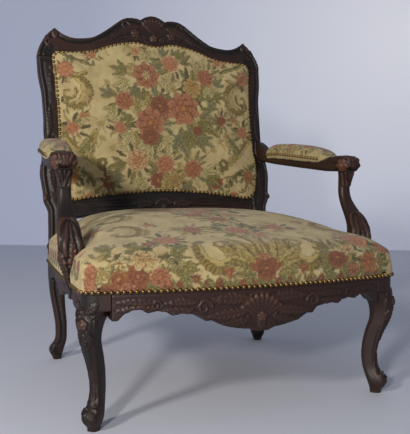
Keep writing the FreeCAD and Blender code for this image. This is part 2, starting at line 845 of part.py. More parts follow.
def side_rail():
    """Right-hand side rail, swelled in plan, with a shaped lower edge and a tenon at each end."""
    front_x = side_line(BLOCK_Y)
    rear_x = side_line(POST_Y)
    middle_y = (BLOCK_Y + POST_Y) / 2
    outer_middle = Vector(side_line(middle_y) + size("seat_side_swell"), middle_y, 0)
    points = [Vector(front_x, BLOCK_Y, 0), outer_middle, Vector(rear_x, POST_Y, 0)]
    inner_rear = Vector(side_inner(POST_Y), POST_Y, 0)
    inner_front = Vector(side_inner(BLOCK_Y), BLOCK_Y, 0)
    plan = Part.Wire([arc_edge(*points), line_edge(points[2], inner_rear),
                      line_edge(inner_rear, inner_front), line_edge(inner_front, points[0])])
    blank = Part.Face(plan).extrude(Vector(0, 0, RAIL_TOP))
    low = RAIL_LOW + 4
    edge = [
        Vector(0, BLOCK_Y, low - 14), Vector(0, BLOCK_Y + 60, low + 6),
        Vector(0, -90, low + 10), Vector(0, -20, low - 6), Vector(0, 60, low + 10),
        Vector(0, POST_Y - 50, low + 6), Vector(0, POST_Y, low - 6),
    ]
    curve = Part.BSplineCurve()
    curve.interpolate(edge)
    under = [curve.toShape()]
    corners = [edge[-1], Vector(0, POST_Y, 0), Vector(0, BLOCK_Y, 0), edge[0]]
    under += [line_edge(a, b) for a, b in zip(corners, corners[1:])]
    below = Part.Face(Part.Wire(under)).extrude(Vector(FRONT_HALF + 60, 0, 0))
    rail = blank.cut(below)
    for low_corner, high_corner in (side_front_tenon(), side_rear_tenon()):
        rail = rail.fuse(box(low_corner, high_corner))
    for peg in pegs:
        rail = rail.cut(peg)
    rail = rail.cut(support_blank())
    for hole in screw_holes():
        rail = rail.cut(hole)
    return rail.removeSplitter()


right_rail = side_rail()
pair("seat_rail", right_rail)
leg = leg.cut(right_rail).cut(front_rail_body.Shape)
pair("front_leg", max(leg.Solids, key=lambda solid: solid.Volume))


def rear_rail():
    """Straight rear rail with a tenon at each end."""
    body = new_body("rear_seat_rail")
    inner = REAR_EDGE - size("rail_width")
    sketch = sketch_edges(body, "XY_Plane", "rear_rail_plan", polygon([
        (-POST_X, inner), (POST_X, inner), (POST_X, REAR_EDGE), (-POST_X, REAR_EDGE)]))
    sketch.AttachmentOffset = Placement(
        Vector(0, 0, RAIL_TOP - size("rear_rail_depth")), Rotation())
    pad(body, sketch, "rear_rail_pad", "Sizes.rear_rail_depth")
    low, high = rear_tenon()
    low = (low[0], low[1], max(low[2], RAIL_TOP - size("rear_rail_depth")))
    body_box(body, "Additive", "rear_tenon_right", low, high)
    body_box(body, "Additive", "rear_tenon_left",
             (-high[0], low[1], low[2]), (-low[0], high[1], high[2]))
    start, end = seat_pegs()[2]
    body_peg(body, "rear_peg_right", start, end, PEG_RADIUS)
    body_peg(body, "rear_peg_left", (-start[0], *start[1:]), (-end[0], *end[1:]), PEG_RADIUS)


rear_rail()


def corner_blocks():
    """Glued blocks that brace each corner of the seat frame."""
    length = size("brace_leg")
    front_inner = FRONT_EDGE + size("rail_width")
    rear_inner = REAR_EDGE - size("rail_width")
    front = [
        (BLOCK_X - length, front_inner), (BLOCK_X, front_inner), (BLOCK_X, BLOCK_Y),
        (side_inner(BLOCK_Y), BLOCK_Y), (side_inner(BLOCK_Y + length), BLOCK_Y + length),
    ]
    rear = [
        (POST_X - length, rear_inner), (POST_X, rear_inner), (POST_X, POST_Y),
        (side_inner(POST_Y), POST_Y), (side_inner(POST_Y - length), POST_Y - length),
    ]
    for place, outline in (("front", front), ("rear", rear)):
        for side, sign in (("right", 1), ("left", -1)):
            body = new_body(f"{place}_{side}_corner_block")
            points = [(sign * x, y) for x, y in outline]
            sketch = sketch_edges(body, "XY_Plane", f"{place}_{side}_block_plan", polygon(points))
            sketch.AttachmentOffset = Placement(
                Vector(0, 0, RAIL_TOP - 8 - size("brace_height")), Rotation())
            pad(body, sketch, f"{place}_{side}_block_pad", "Sizes.brace_height")


corner_blocks()


# Back frame
# Outer edge of the crest rail from the joint to the middle, as x and height
CREST_SHOULDER = [(360, 0), (355, 905), (345, 925), (335, 940), (321, 955), (308, 965)]
CREST_TOP = [
    (308, 965), (290, 953), (264, 942), (226, 941), (192, 948), (170, 960), (141, 980),
    (115, 1000), (95, 1013), (72, 1019), (40, 1014),
]
CREST_SHELL = [(40, 1014), (22, 1025), (0, 1030)]
CREST_INNER = [(0, 916), (60, 922), (125, 912), (190, 888), (250, 881), (DRAWN_OPENING, 0)]


def crest_points(rows, sign):
    """Points of an outline in the crest's sketch."""
    joint = size("crest_joint")
    return [Vector(sign * across(x), slope(z) if z else joint, 0) for x, z in rows]


def smooth(points):
    """A smooth curve through points."""
    curve = Part.BSplineCurve()
    curve.interpolate(points)
    return curve


def crest_rail():
    """Top rail with its shoulders, its ears and the raised middle."""
    body = new_body("crest_rail")
    body.Placement = BACK
    curves = []
    for sign in (1, -1):
        for rows in (CREST_SHOULDER, CREST_TOP, CREST_SHELL, CREST_INNER):
            points = crest_points(rows, sign)
            curves.append(smooth(points))
        inner, outer = crest_points([CREST_INNER[-1], CREST_SHOULDER[0]], sign)
        curves.append(Part.LineSegment(inner, outer))
    sketch = sketch_edges(body, "XZ_Plane", "crest_outline", curves)
    pad(body, sketch, "crest_pad", "Sizes.back_thickness", reverse=True)
    low, high = crest_tenon_corners()
    body_box(body, "Subtractive", "crest_mortise_right", low, high)
    body_box(body, "Subtractive", "crest_mortise_left",
             (-high[0], low[1], low[2]), (-low[0], high[1], high[2]))
    start, end = back_pegs()[1]
    body_peg(body, "crest_peg_right", start, end, PEG_RADIUS)
    body_peg(body, "crest_peg_left", (-start[0], *start[1:]), (-end[0], *end[1:]), PEG_RADIUS)


crest_rail()

# Edges of the lower back rail from the middle outwards, as x and height
LOWER_RAIL_UNDER = [(0, 417), (60, 421), (165, 418), (250, 408), (DRAWN_OPENING, 404)]
LOWER_RAIL_UPPER = [(0, 491), (75, 489), (165, 479), (250, 468), (DRAWN_OPENING, 466)]


def lower_back_rail():
    """Rail under the back's cushion, between the posts."""
    body = new_body("lower_back_rail")
    body.Placement = BACK
    curves = []
    for sign in (1, -1):
        for rows in (LOWER_RAIL_UNDER, LOWER_RAIL_UPPER):
            curves.append(smooth([Vector(sign * across(x), slope(z), 0) for x, z in rows]))
        ends = [Vector(sign * OPENING, slope(rows[-1][1]), 0)
                for rows in (LOWER_RAIL_UNDER, LOWER_RAIL_UPPER)]
        curves.append(Part.LineSegment(*ends))
    sketch = sketch_edges(body, "XZ_Plane", "lower_rail_outline", curves)
    pad(body, sketch, "lower_rail_pad", "Sizes.back_thickness", reverse=True)
    low, high = back_tenon()
    body_box(body, "Additive", "lower_tenon_right", low, high)
    body_box(body, "Additive", "lower_tenon_left",
             (-high[0], low[1], low[2]), (-low[0], high[1], high[2]))
    start, end = back_pegs()[0]
    body_peg(body, "lower_peg_right", start, end, PEG_RADIUS)
    body_peg(body, "lower_peg_left", (-start[0], *start[1:]), (-end[0], *end[1:]), PEG_RADIUS)


lower_back_rail()


# Seat upholstery
print("seat")
WEB = size("web_thickness")
WEB_WIDTH = size("web_width")
WEB_TOP = RAIL_TOP + 2 * WEB
PAD_LOW = WEB_TOP + size("hessian") + CLEAR

# Seat cushion: rise as a share of the crown, then how far it draws in at front, side and rear
SEAT_PROFILE = [
    (0.00, -3, -3, -3, 32),
    (0.12, -5, -5, -4, 34),
    (0.30, -7, -7, -5, 38),
    (0.44, -4, -4, -4, 42),
    (0.53, 7, 7, 0, 48),
    (0.60, 34, 25, 4, 62),
    (0.67, 82, 48, 9, 80),
    (0.76, 146, 72, 16, 88),
    (0.86, 212, 104, 31, 84),
    (0.95, 286, 148, 58, 72),
    (1.00, 356, 206, 104, 56),
]


def seat_rows(skin):
    """Sections of the seat: height, how far front, sides and rear draw in, corner rounding."""
    hem = size("hem_height")
    rise = size("seat_crown") - hem - skin
    return even_rows([(hem + rise * share, *rest) for share, *rest in SEAT_PROFILE], 14, 2)


def seat_form(skin, low_extra=0.0):
    """Crowned form of the seat, drawn in all round by a skin."""
    wires = []
    for height, front, side, rear, radius in seat_rows(skin):
        wires.append(seat_section(height, front + skin, side + skin, rear + skin, radius))
    form = loft(wires, True)
    if low_extra:
        form = form.fuse(Part.Face(wires[0]).extrude(Vector(0, 0, -low_extra)))
    return form


def seat_notches(gap):
    """What stands through the seat cushion: the two posts and the two arm supports."""
    high = size("seat_crown") + 30
    low = size("hem_height") - 30
    post_box = box((POST_X - gap - 1, POST_Y - gap, low), (REAR_HALF + 60, REAR_EDGE + 40, high))
    stand = support_blank(gap)
    shapes = [post_box, stand]
    return shapes + [mirrored(item) for item in shapes]


def inside_of_cloth():
    """Room inside the seat cover."""
    return seat_form(CLOTH, low_extra=12)


cover = seat_form(0).cut(inside_of_cloth())
for notch in seat_notches(CLEAR):
    cover = cover.cut(notch)
stuffing = seat_form(CLOTH + CLEAR, low_extra=12)
stuffing = stuffing.cut(box((-500, -500, 0), (500, 500, PAD_LOW)))
for notch in seat_notches(CLEAR):
    stuffing = stuffing.cut(notch)
hessian_wire = seat_section(WEB_TOP, 4, 4, 4, size("corner_radius"))
hessian = Part.Face(hessian_wire).extrude(Vector(0, 0, size("hessian")))
for notch in seat_notches(CLEAR):
    hessian = hessian.cut(notch)


def largest(shape):
    """The main solid of a cut."""
    return max(shape.Solids, key=lambda solid: solid.Volume)


shape_node("seat_cover", largest(cover))
shape_node("seat_stuffing", largest(stuffing))
shape_node("seat_hessian", largest(hessian))


def strap_positions(half_span, count):
    """Middle of each strap, evenly spread over a span."""
    step = 2 * half_span / count
    return [-half_span + step * (index + 0.5) for index in range(count)]


def straps(name, boxes):
    """A group of straps as one sub-part, each strap a box bound to the sheet."""
    items = []
    for index, (low, high, bound) in enumerate(boxes):
        item = document.addObject("Part::Box", f"{name}_{index + 1}")
        item.Length = high[0] - low[0]
        item.Width = high[1] - low[1]
        item.Height = high[2] - low[2]
        for prop, alias in bound:
            item.setExpression(prop, f"Sizes.{alias}")
        item.Placement = Placement(Vector(*low), Rotation())
        items.append(item)
    group = document.addObject("Part::Compound", name)
    group.Links = items
    return keep(group, name)


def seat_straps():
    """Jute straps across the top of the seat rails, in two layers."""
    front_y = FRONT_EDGE + 10
    rear_y = REAR_EDGE - 10
    lengthwise = []
    for x in strap_positions(POST_X - 10, 6):
        low = (x - WEB_WIDTH / 2, front_y, RAIL_TOP)
        high = (x + WEB_WIDTH / 2, rear_y, RAIL_TOP + WEB)
        lengthwise.append((low, high, [("Length", "web_width"), ("Height", "web_thickness")]))
    crosswise = []
    middle = (BLOCK_Y + POST_Y) / 2
    reach = (POST_Y - BLOCK_Y) / 2 - 2
    for offset in strap_positions(reach, 6):
        y = middle + offset
        half = side_line(y) - 12
        if abs(y - SUPPORT_Y + 5) < 62:
            half = side_inner(SUPPORT_Y) + 5
        low = (-half, y - WEB_WIDTH / 2, RAIL_TOP + WEB)
        high = (half, y + WEB_WIDTH / 2, RAIL_TOP + 2 * WEB)
        crosswise.append((low, high, [("Width", "web_width"), ("Height", "web_thickness")]))
    straps("seat_straps_lengthwise", lengthwise)
    straps("seat_straps_crosswise", crosswise)


seat_straps()


# Back upholstery, in the back's frame
print("back")
# Edge of the back's cover as arcs, each given by start, middle and end, right half from the top
BACK_EDGE = [
    ((0, 932), (28, 935), (52, 941)),
    ((52, 941), (112, 934), (178, 911)),
    ((178, 911), (238, 899), (293, 896)),
    ((293, 896), (314, 889), (321, 868)),
    ((321, 868), (312, 735), (314, 600)),
    ((314, 600), (319, 545), (311, 487)),
    ((311, 487), (300, 464), (277, 452)),
    ((277, 452), (140, 470), (0, 477)),
]
BACK_MIDDLE = 690.0


def back_section(depth, inset):
    """Outline of the back's cushion at a depth in front of the frame."""
    kx = 1 - inset / 318
    kv = 1 - inset / 235
    middle = slope(BACK_MIDDLE)

    def at(x, height):
        return Vector(kx * across(x), -depth, middle + kv * (slope(height) - middle))

    right = [arc_edge(*[at(x, z) for x, z in arc]) for arc in BACK_EDGE]
    left = [arc_edge(*[at(-x, z) for x, z in reversed(arc)]) for arc in reversed(BACK_EDGE)]
    return Part.Wire(right + left)


# Back cushion: share of its depth, then how far its edge draws in
BACK_PROFILE = [
    (0.0, 0), (0.235, 0), (0.24, 11), (0.45, 13), (0.64, 20), (0.80, 40), (0.93, 80), (1.0, 140),
]
BACK_EDGE_SHARE = 0.24


def back_form(skin, low_extra=0.0):
    """Crowned form of the back's cushion, drawn in by a skin."""
    depth = size("back_pad_depth")
    wires = [back_section(depth * share - skin, inset + skin) for share, inset in BACK_PROFILE]
    form = loft(wires, True)
    if low_extra:
        form = form.fuse(Part.Face(wires[0]).extrude(Vector(0, low_extra, 0)))
    return form


back_layers = 2 * WEB + size("hessian")
back_cover = back_form(0).cut(back_form(CLOTH, low_extra=6))
back_stuffing = back_form(CLOTH + CLEAR, low_extra=6)
back_stuffing = back_stuffing.cut(box((-500, -(back_layers + CLEAR), -500), (500, 500, 900)))
shape_node("back_cover", on_back(largest(back_cover)))
shape_node("back_stuffing", on_back(largest(back_stuffing)))

sheet_wire = back_section(2 * WEB, 15)
back_hessian = Part.Face(sheet_wire).extrude(Vector(0, -size("hessian"), 0))
shape_node("back_hessian", on_back(back_hessian))


def back_straps():
    """Jute straps on the front of the back frame, in two layers."""
    upright = []
    upper = slope(899)
    lower = slope(486)
    for x in strap_positions(OPENING - 40, 4):
        dip = 14 * (abs(x) / OPENING) ** 2
        low = (x - WEB_WIDTH / 2, -WEB, lower - dip)
        high = (x + WEB_WIDTH / 2, 0, upper + 26 * (1 - abs(x) / OPENING) - 10)
        upright.append((low, high, [("Length", "web_width"), ("Width", "web_thickness")]))
    across = []
    reach = (upper - lower) / 2 - 26
    middle = (upper + lower) / 2
    for offset in strap_positions(reach, 3):
        low = (-OPENING - 8, -2 * WEB, middle + offset - WEB_WIDTH / 2)
        high = (OPENING + 8, -WEB, middle + offset + WEB_WIDTH / 2)
        across.append((low, high, [("Height", "web_width"), ("Width", "web_thickness")]))
    for name, rows in (("back_straps_upright", upright), ("back_straps_across", across)):
        straps(name, rows).Placement = BACK


back_straps()


def outside_back():
    """Cloth panel nailed on the rear face of the back frame."""
    outline = back_section(-THICK, 6)
    face = Part.Face(outline)
    return on_back(face.extrude(Vector(0, size("back_panel"), 0)))


shape_node("outside_back_panel", outside_back())


# Arm pads
print("arms")
# Cushion on an arm: place behind its front, sideways and upward from the arm's line, width,
# thickness, rounding
PAD_SECTIONS = [
    (0, 3, 4, 36, 15, 6),
    (7, 4, 3, 51, 27, 12),
    (25, 3, 4, 62, 38, 17),
    (57, 4, 5, 68, 48, 21),
    (106, 3, 5, 70, 55, 24),
    (189, 3, 4, 70, 55, 24),
    (254, 2, 0, 67, 53, 23),
    (285, 2, -6, 61, 44, 19),
    (301, 2, -11, 50, 30, 13),
    (309, 2, -16, 34, 14, 6),
]
PAD_DRAWN = (309.0, 70.0, 55.0)


def pad_rows():
    """Sections of the right arm's cushion: depth, x, height, width, thickness, rounding."""
    long = size("arm_pad_length") / PAD_DRAWN[0]
    wide = size("arm_pad_width") / PAD_DRAWN[1]
    tall = size("arm_pad_rise") / PAD_DRAWN[2]
    rows = []
    for place, aside, up, width, thickness, radius in PAD_SECTIONS:
        y = ARM_TIP + size("arm_pad_setback") + place * long
        x, z = arm_line(y)
        rows.append((y, x + aside, z + up, width * wide, thickness * tall, radius))
    return rows


def pad_form(skin):
    """Cushion of an arm, drawn in by a skin."""
    wires = []
    rows = even_rows(pad_rows(), 14)
    for index, (y, x, z, width, thick, radius) in enumerate(rows):
        end = 1 if index == 0 else (-1 if index == len(rows) - 1 else 0)
        wires.append(upright_section(
            y + end * skin, x, z, width - 2 * skin, thick - 2 * skin, max(2, radius - skin)))
    return loft(wires)


def pad_floor():
    """Room under a pad, up to just below the arm's upper edge."""
    sections = [(y, x, z - thick / 2 - 33, 160, 80, 1)
                for y, x, z, width, thick, radius in arm_rows()[3:11]]
    return loft([upright_section(*row) for row in sections], True)


arm_solid = arm_blank()
trim = pad_floor()
pad_cover = pad_form(0).cut(pad_form(CLOTH)).cut(arm_solid).cut(trim)
pad_stuffing = pad_form(CLOTH + CLEAR).cut(arm_solid)
pair("arm_pad_cover", largest(pad_cover))
pair("arm_pad_stuffing", largest(pad_stuffing))


# Cover nails
print("nails")


def nail_dome():
    """Head of a cover nail: a dome whose flat side is at z = 0."""
    radius = size("nail_diameter") / 2
    rise = size("nail_rise")
    ball = (radius * radius + rise * rise) / (2 * rise)
    low = math.degrees(math.asin((ball - rise) / ball))
    return Part.makeSphere(ball, Vector(0, 0, rise - ball), Vector(0, 0, 1), low, 90, 360)


DOME = nail_dome()


def nail_at(point, outward):
    """A nail head at a point, facing outward."""
    head = DOME.copy()
    gap = outward * CLEAR
    head.Placement = Placement(point + gap, Rotation(Vector(0, 0, 1), outward))
    return head


def row_of_nails(edge_wire, outward_at, pitch):
    """Nails at an even pitch along a wire."""
    count = max(2, round(edge_wire.Length / pitch))
    points = edge_wire.discretize(Number=count + 1)
    return [nail_at(point, outward_at(point)) for point in points]


def away_from_middle(middle):
    """Level direction from a middle line to a point."""
    def outward(point):
        direction = Vector(point.x - middle.x, point.y - middle.y, 0)
        return direction.normalize()
    return outward


def seat_nails():
    """Row along the lower edge of the seat cover."""
    height = size("hem_height") + size("nail_diameter") / 2 + 1
    below, above = seat_rows(0)[:2]
    share = (height + size("nail_diameter") / 2 - below[0]) / (above[0] - below[0])
    insets = [a + share * (b - a) for a, b in zip(below[1:], above[1:])]
    wire = seat_section(height, *insets)
    edges = wire.Edges
    front, corner_right, side_right, _, rear, _, side_left, corner_left = edges
    groups = [
        (front, lambda p: Vector(p.x / 1600, -1, 0).normalize()),
        (side_right, lambda p: Vector(1, 0.055, 0).normalize()),
        (side_left, lambda p: Vector(-1, 0.055, 0).normalize()),
        (rear, lambda p: Vector(0, 1, 0)),
    ]
    pitch = size("nail_pitch")
    nails = []
    for edge, outward in groups:
        nails += row_of_nails(Part.Wire(edge), outward, pitch)
    reach = FRONT_HALF - size("corner_radius")
    for sign, edge in ((1, corner_right), (-1, corner_left)):
        middle = Vector(sign * reach, FRONT_EDGE + size("corner_radius"), 0)
        ring = row_of_nails(Part.Wire(edge), away_from_middle(middle), pitch)
        nails += ring[1:-1]
    clear = []
    for nail in nails:
        centre = nail.BoundBox.Center
        in_post = centre.y > POST_Y - 6 and abs(centre.x) > POST_X - 6
        in_support = abs(centre.x) > SCREW_FACE and abs(centre.y - SUPPORT_Y) < 22
        if not in_post and not in_support:
            clear.append(nail)
    return clear


def back_nails(depth, inset, direction):
    """Row round the back, in front of or behind the frame."""
    wire = back_section(depth, inset)
    nails = row_of_nails(wire, lambda p: Vector(0, direction, 0), size("nail_pitch"))[:-1]
    return [on_back(nail) for nail in nails]


def pad_nails():
    """Rows along both sides of the right arm's pad."""
    nails = []
    rows = even_rows(pad_rows(), 14)[1:-1]
    for sign in (1, -1):
        points = []
        for y, x, z, width, thick, radius in rows:
            points.append(Vector(x + sign * width / 2, y, z - thick / 2 + radius))
        curve = smooth(points)

        def outward(point, curve=curve, sign=sign):
            along = curve.tangent(curve.parameter(point))[0]
            return Vector(sign * abs(along.y), -sign * along.x, 0).normalize()
        nails += row_of_nails(Part.Wire(curve.toShape()), outward, size("nail_pitch"))
    return nails


right_pad = pad_nails()
shape_node("seat_nails", Part.makeCompound(seat_nails()))
edge_depth = BACK_EDGE_SHARE * size("back_pad_depth")
NAIL_INSET = size("nail_diameter") / 2 + 0.4
shape_node("back_nails", Part.makeCompound(back_nails(edge_depth, NAIL_INSET, -1)))
shape_node("outside_back_nails", Part.makeCompound(
    back_nails(-THICK - size("back_panel"), NAIL_INSET + 7, 1)))
pair("arm_pad_nails", Part.makeCompound(right_pad))


# Check every object, then write one file for each node
document.recompute()
for item in document.Objects:
    bad = [word for word in item.State if word in ("Invalid", "Error")]
    if bad:
        raise RuntimeError(f"{item.Label} failed: {item.State}")
for node in NODES:
    if node.Shape.isNull() or not node.Shape.isValid():
        raise RuntimeError(f"{node.Label} has no valid shape")

os.makedirs("parts", exist_ok=True)
for node in NODES:
    node.Shape.exportStep(f"parts/{node.Label}.step")
    print(f"{node.Label}: {len(node.Shape.Solids)} solids, {node.Shape.Volume / 1000:.1f} cm3")
whole = FreeCAD.BoundBox()
for node in NODES:
    whole.add(node.Shape.BoundBox)
print(f"{len(NODES)} nodes")
print(f"x {whole.XMin:.2f} to {whole.XMax:.2f}, y {whole.YMin:.2f} to {whole.YMax:.2f},"
      f" z {whole.ZMin:.2f} to {whole.ZMax:.2f}")
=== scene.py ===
# %% [markdown]
# # A carved walnut armchair in floral tapestry
# The chair's construction is already packed as a fixed frame: legs, rails, arms and the plain forms
# of the cushions. This script gives every visible piece its finish: the carving in the wood, the
# woven cover with its roses and scrolls, the brass nails and the jute webbing underneath.

# %% Load the frame
import math

import bmesh
import bpy
import numpy as np
from mathutils import Matrix, Vector
from mathutils.kdtree import KDTree


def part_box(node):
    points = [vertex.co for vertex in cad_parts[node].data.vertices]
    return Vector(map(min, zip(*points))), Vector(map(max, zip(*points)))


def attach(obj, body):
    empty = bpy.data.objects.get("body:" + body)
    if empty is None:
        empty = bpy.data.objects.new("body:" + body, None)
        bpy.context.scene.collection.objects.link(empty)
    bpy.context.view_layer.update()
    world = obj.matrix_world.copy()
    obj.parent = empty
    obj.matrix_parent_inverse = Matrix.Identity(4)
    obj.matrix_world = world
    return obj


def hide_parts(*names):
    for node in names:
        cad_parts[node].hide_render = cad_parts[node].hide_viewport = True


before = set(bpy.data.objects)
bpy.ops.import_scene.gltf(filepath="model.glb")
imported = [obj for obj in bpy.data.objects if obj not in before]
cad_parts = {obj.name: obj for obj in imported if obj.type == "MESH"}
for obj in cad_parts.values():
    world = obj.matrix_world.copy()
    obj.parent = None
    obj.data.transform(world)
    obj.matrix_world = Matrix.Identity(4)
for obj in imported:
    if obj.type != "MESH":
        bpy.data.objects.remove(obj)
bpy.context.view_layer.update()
MM = 0.001
scene = bpy.context.scene

# %% [markdown]
# ## Camera
# The photograph looks slightly down on the chair from its left front, from about two metres. The
# camera stands where the picture's own perspective puts it. Its focal length is in pixels, because
# it was worked out from the picture, and the lens in millimetres follows from it.

# %% Camera
PHOTO_WIDTH = 410
PHOTO_HEIGHT = 434
FOCAL_PIXELS = 676.5
SENSOR = 36.0
CAMERA_PLACE = Vector((-0.637, -1.6695, 0.507))
CAMERA_TURN = math.radians(21.709)
CAMERA_DIP = math.radians(2.951)

camera_data = bpy.data.cameras.new("camera")
camera_data.sensor_width = SENSOR
camera_data.lens = FOCAL_PIXELS * SENSOR / max(PHOTO_WIDTH, PHOTO_HEIGHT)
camera = bpy.data.objects.new("camera", camera_data)
scene.collection.objects.link(camera)
view = Vector((math.sin(CAMERA_TURN) * math.cos(CAMERA_DIP),
               math.cos(CAMERA_TURN) * math.cos(CAMERA_DIP), -math.sin(CAMERA_DIP)))
camera.location = CAMERA_PLACE
camera.rotation_euler = view.to_track_quat("-Z", "Y").to_euler()
scene.camera = camera
scene.view_settings.view_transform = "Standard"

# %% [markdown]
# ## Shader maths as Python
# A small class wraps a shader socket, so that masks and colours are written as expressions.
# Every other node comes from one method, which takes the node's type, its settings and its inputs.


# %% Shader helper
class Wire:
    """A shader socket that takes part in Python arithmetic."""

    def __init__(self, finish, socket):
        self.finish = finish
        self.socket = socket

    def join(self, operation, a, b):
        return self.finish.node("ShaderNodeMath", {"operation": operation}, {0: a, 1: b})

    def __add__(self, other):
        return self.join("ADD", self, other)

    def __sub__(self, other):
        return self.join("SUBTRACT", self, other)

    def __rsub__(self, other):
        return self.join("SUBTRACT", other, self)

    def __mul__(self, other):
        return self.join("MULTIPLY", self, other)

    __radd__ = __add__
    __rmul__ = __mul__


class Finish:
    """A material under construction, with the Principled shader as its end."""

    def __init__(self, name):
        self.material = bpy.data.materials.new(name)
        self.material.use_nodes = True
        self.tree = self.material.node_tree
        self.shader = self.tree.nodes["Principled BSDF"]

    def plug(self, socket, value):
        """Link a wire to a socket, or set the socket to a plain value."""
        if isinstance(value, Wire):
            self.tree.links.new(value.socket, socket)
        else:
            socket.default_value = value

    def node(self, kind, settings=None, inputs=None, output=0):
        """Any node: its type, its settings, its inputs, and which output to go on from."""
        made = self.tree.nodes.new(kind)
        for name, value in (settings or {}).items():
            if name == "stops":
                ramp = made.color_ramp
                while len(ramp.elements) < len(value):
                    ramp.elements.new(1.0)
                for element, (place, colour) in zip(ramp.elements, value):
                    element.position = place
                    element.color = colour
            else:
                setattr(made, name, value)
        for key, value in (inputs or {}).items():
            self.plug(made.inputs[key], value)
        return Wire(self, made.outputs[output])

    def mix(self, share, first, second):
        """A colour between two colours."""
        made = self.tree.nodes.new("ShaderNodeMix")
        made.data_type = "RGBA"
        for index, value in ((0, share), (6, first), (7, second)):
            self.plug(made.inputs[index], value)
        return Wire(self, made.outputs[2])

    def place(self, scale=(1, 1, 1)):
        """Places on the piece in metres, stretched where the scale is small."""
        spot = self.node("ShaderNodeTexCoord", output="Object")
        return self.node("ShaderNodeMapping", inputs={"Vector": spot, "Scale": scale})

    def noise(self, vector, scale, detail=3.0, roughness=0.5):
        return self.node("ShaderNodeTexNoise", inputs={
            "Vector": vector, "Scale": scale, "Detail": detail, "Roughness": roughness})

    def attribute(self, name, output="Fac"):
        return self.node("ShaderNodeAttribute", {"attribute_name": name}, output=output)

    def bump(self, height, strength, distance, under=None):
        """A bump over the plain surface or over an earlier bump."""
        inputs = {"Height": height, "Strength": strength, "Distance": distance}
        if under is not None:
            inputs["Normal"] = under
        return self.node("ShaderNodeBump", inputs=inputs)

    def clamped(self, first, factor):
        """A product held between 0 and 1."""
        return self.node("ShaderNodeMath", {"operation": "MULTIPLY", "use_clamp": True},
                         {0: first, 1: factor})

    def set(self, **inputs):
        """Inputs of the Principled shader, and the finished material."""
        for name, value in inputs.items():
            self.plug(self.shader.inputs[name.replace("_", " ")], value)
        return self.material


def tint(red, green, blue):
    """A paint colour from 0 to 255 as the linear colour that Blender mixes."""
    levels = [channel / 255 for channel in (red, green, blue)]
    return tuple(v / 12.92 if v <= 0.04045 else ((v + 0.055) / 1.055) ** 2.4 for v in levels)


def solid(colour):
    """The same colour with an alpha of 1."""
    return (*colour, 1.0)


# %% [markdown]
# ## Floor, wall and lamps
# The chair stands on a pale floor before a pale wall whose colour carries a painted pool of light,
# brightest behind its right shoulder.
# The wall stands well back, so that it leaves the views from behind free, and glows a little,
# because the lamps are too near the chair to light it. Two small lamps at the front left throw the
# shadow to the right, and a cool pale world fills the rest.

# %% Floor, wall and lamps
FLOOR_TINT = tint(200, 203, 214)
FLOOR_SIZE = 24.0
WALL_PAINTED_LIGHT = tint(236, 236, 242)
WALL_PAINTED_SHADE = tint(176, 182, 202)
WALL_HEIGHT = 12.0
WALL_SPOT = Vector((1.7, 2.95, 0))
WALL_TURN = math.radians(-30)
WALL_GLOW = 0.32
PAINTED_LIGHT_SPOT = (2.6, 2.4, 1.6)
PAINTED_FALLOFF_PER_METRE = 0.4
WORLD_COLOUR = (0.84, 0.9, 1.0)
WORLD_STRENGTH = 0.30


def stage_panel(name, size_x, size_y, matrix):
    """A flat part of the room."""
    mesh = bpy.data.meshes.new(name)
    shape = bmesh.new()
    bmesh.ops.create_grid(shape, x_segments=1, y_segments=1, size=0.5)
    bmesh.ops.scale(shape, vec=(size_x, size_y, 1), verts=shape.verts)
    bmesh.ops.transform(shape, matrix=matrix, verts=shape.verts)
    shape.to_mesh(mesh)
    shape.free()
    panel = bpy.data.objects.new(name, mesh)
    scene.collection.objects.link(panel)
    return panel


def wall_finish():
    """Wall colour with a painted pool of light, which fades to painted shade with the distance from
    its centre.
    """
    finish = Finish("wall")
    place = finish.node("ShaderNodeTexCoord", output="Object")
    from_spot = finish.node("ShaderNodeVectorMath", {"operation": "DISTANCE"},
                            {0: place, 1: PAINTED_LIGHT_SPOT}, output="Value")
    # painted light: the wall's colour goes from a painted lit tone near the spot to a painted shaded
    # tone further off
    painted_falloff = finish.clamped(from_spot, PAINTED_FALLOFF_PER_METRE)
    colour = finish.mix(painted_falloff, solid(WALL_PAINTED_LIGHT), solid(WALL_PAINTED_SHADE))
    return finish.set(Base_Color=colour, Roughness=0.9, Emission_Color=colour,
                      Emission_Strength=WALL_GLOW)


def lamp(name, place, target, width, power, colour):
    """A square area lamp that faces a point."""
    data = bpy.data.lights.new(name, "AREA")
    data.shape = "SQUARE"
    data.size = width
    data.energy = power
    data.color = colour
    made = bpy.data.objects.new(name, data)
    scene.collection.objects.link(made)
    made.location = place
    made.rotation_euler = (Vector(target) - Vector(place)).to_track_quat("-Z", "Y").to_euler()


floor = stage_panel("floor", FLOOR_SIZE, FLOOR_SIZE, Matrix.Identity(4))
floor.data.materials.append(Finish("floor").set(Base_Color=solid(FLOOR_TINT), Roughness=0.8))
upright = Matrix.Rotation(math.radians(90), 4, "X")
wall = stage_panel("wall", FLOOR_SIZE, WALL_HEIGHT, Matrix.Translation(WALL_SPOT)
                   @ Matrix.Rotation(WALL_TURN, 4, "Z") @ upright)
wall.data.materials.append(wall_finish())
lamp("window", place=(-2.7, -1.8, 1.7), target=(0, 0, 0.45), width=0.35, power=52,
     colour=(1.0, 0.96, 0.9))
lamp("room", place=(-1.6, -2.3, 1.0), target=(0, 0.2, 0.6), width=0.2, power=40,
     colour=(1.0, 0.96, 0.92))
world = bpy.data.worlds.new("room")
scene.world = world
world.use_nodes = True
background = world.node_tree.nodes["Background"]
background.inputs["Color"].default_value = solid(WORLD_COLOUR)
background.inputs["Strength"].default_value = WORLD_STRENGTH

# %% [markdown]
# ## Copies that can be carved
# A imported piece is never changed, so carving works on a copy. A voxel remesh gives the copy small
# even faces, as clay has, and a piece's relief is then a push of each point along its normal.
# That keeps real geometry under the light, which a bump map alone would not.


# %% Mesh helpers
SHOULDER = 0.358
CORE_DROP = 12 * MM


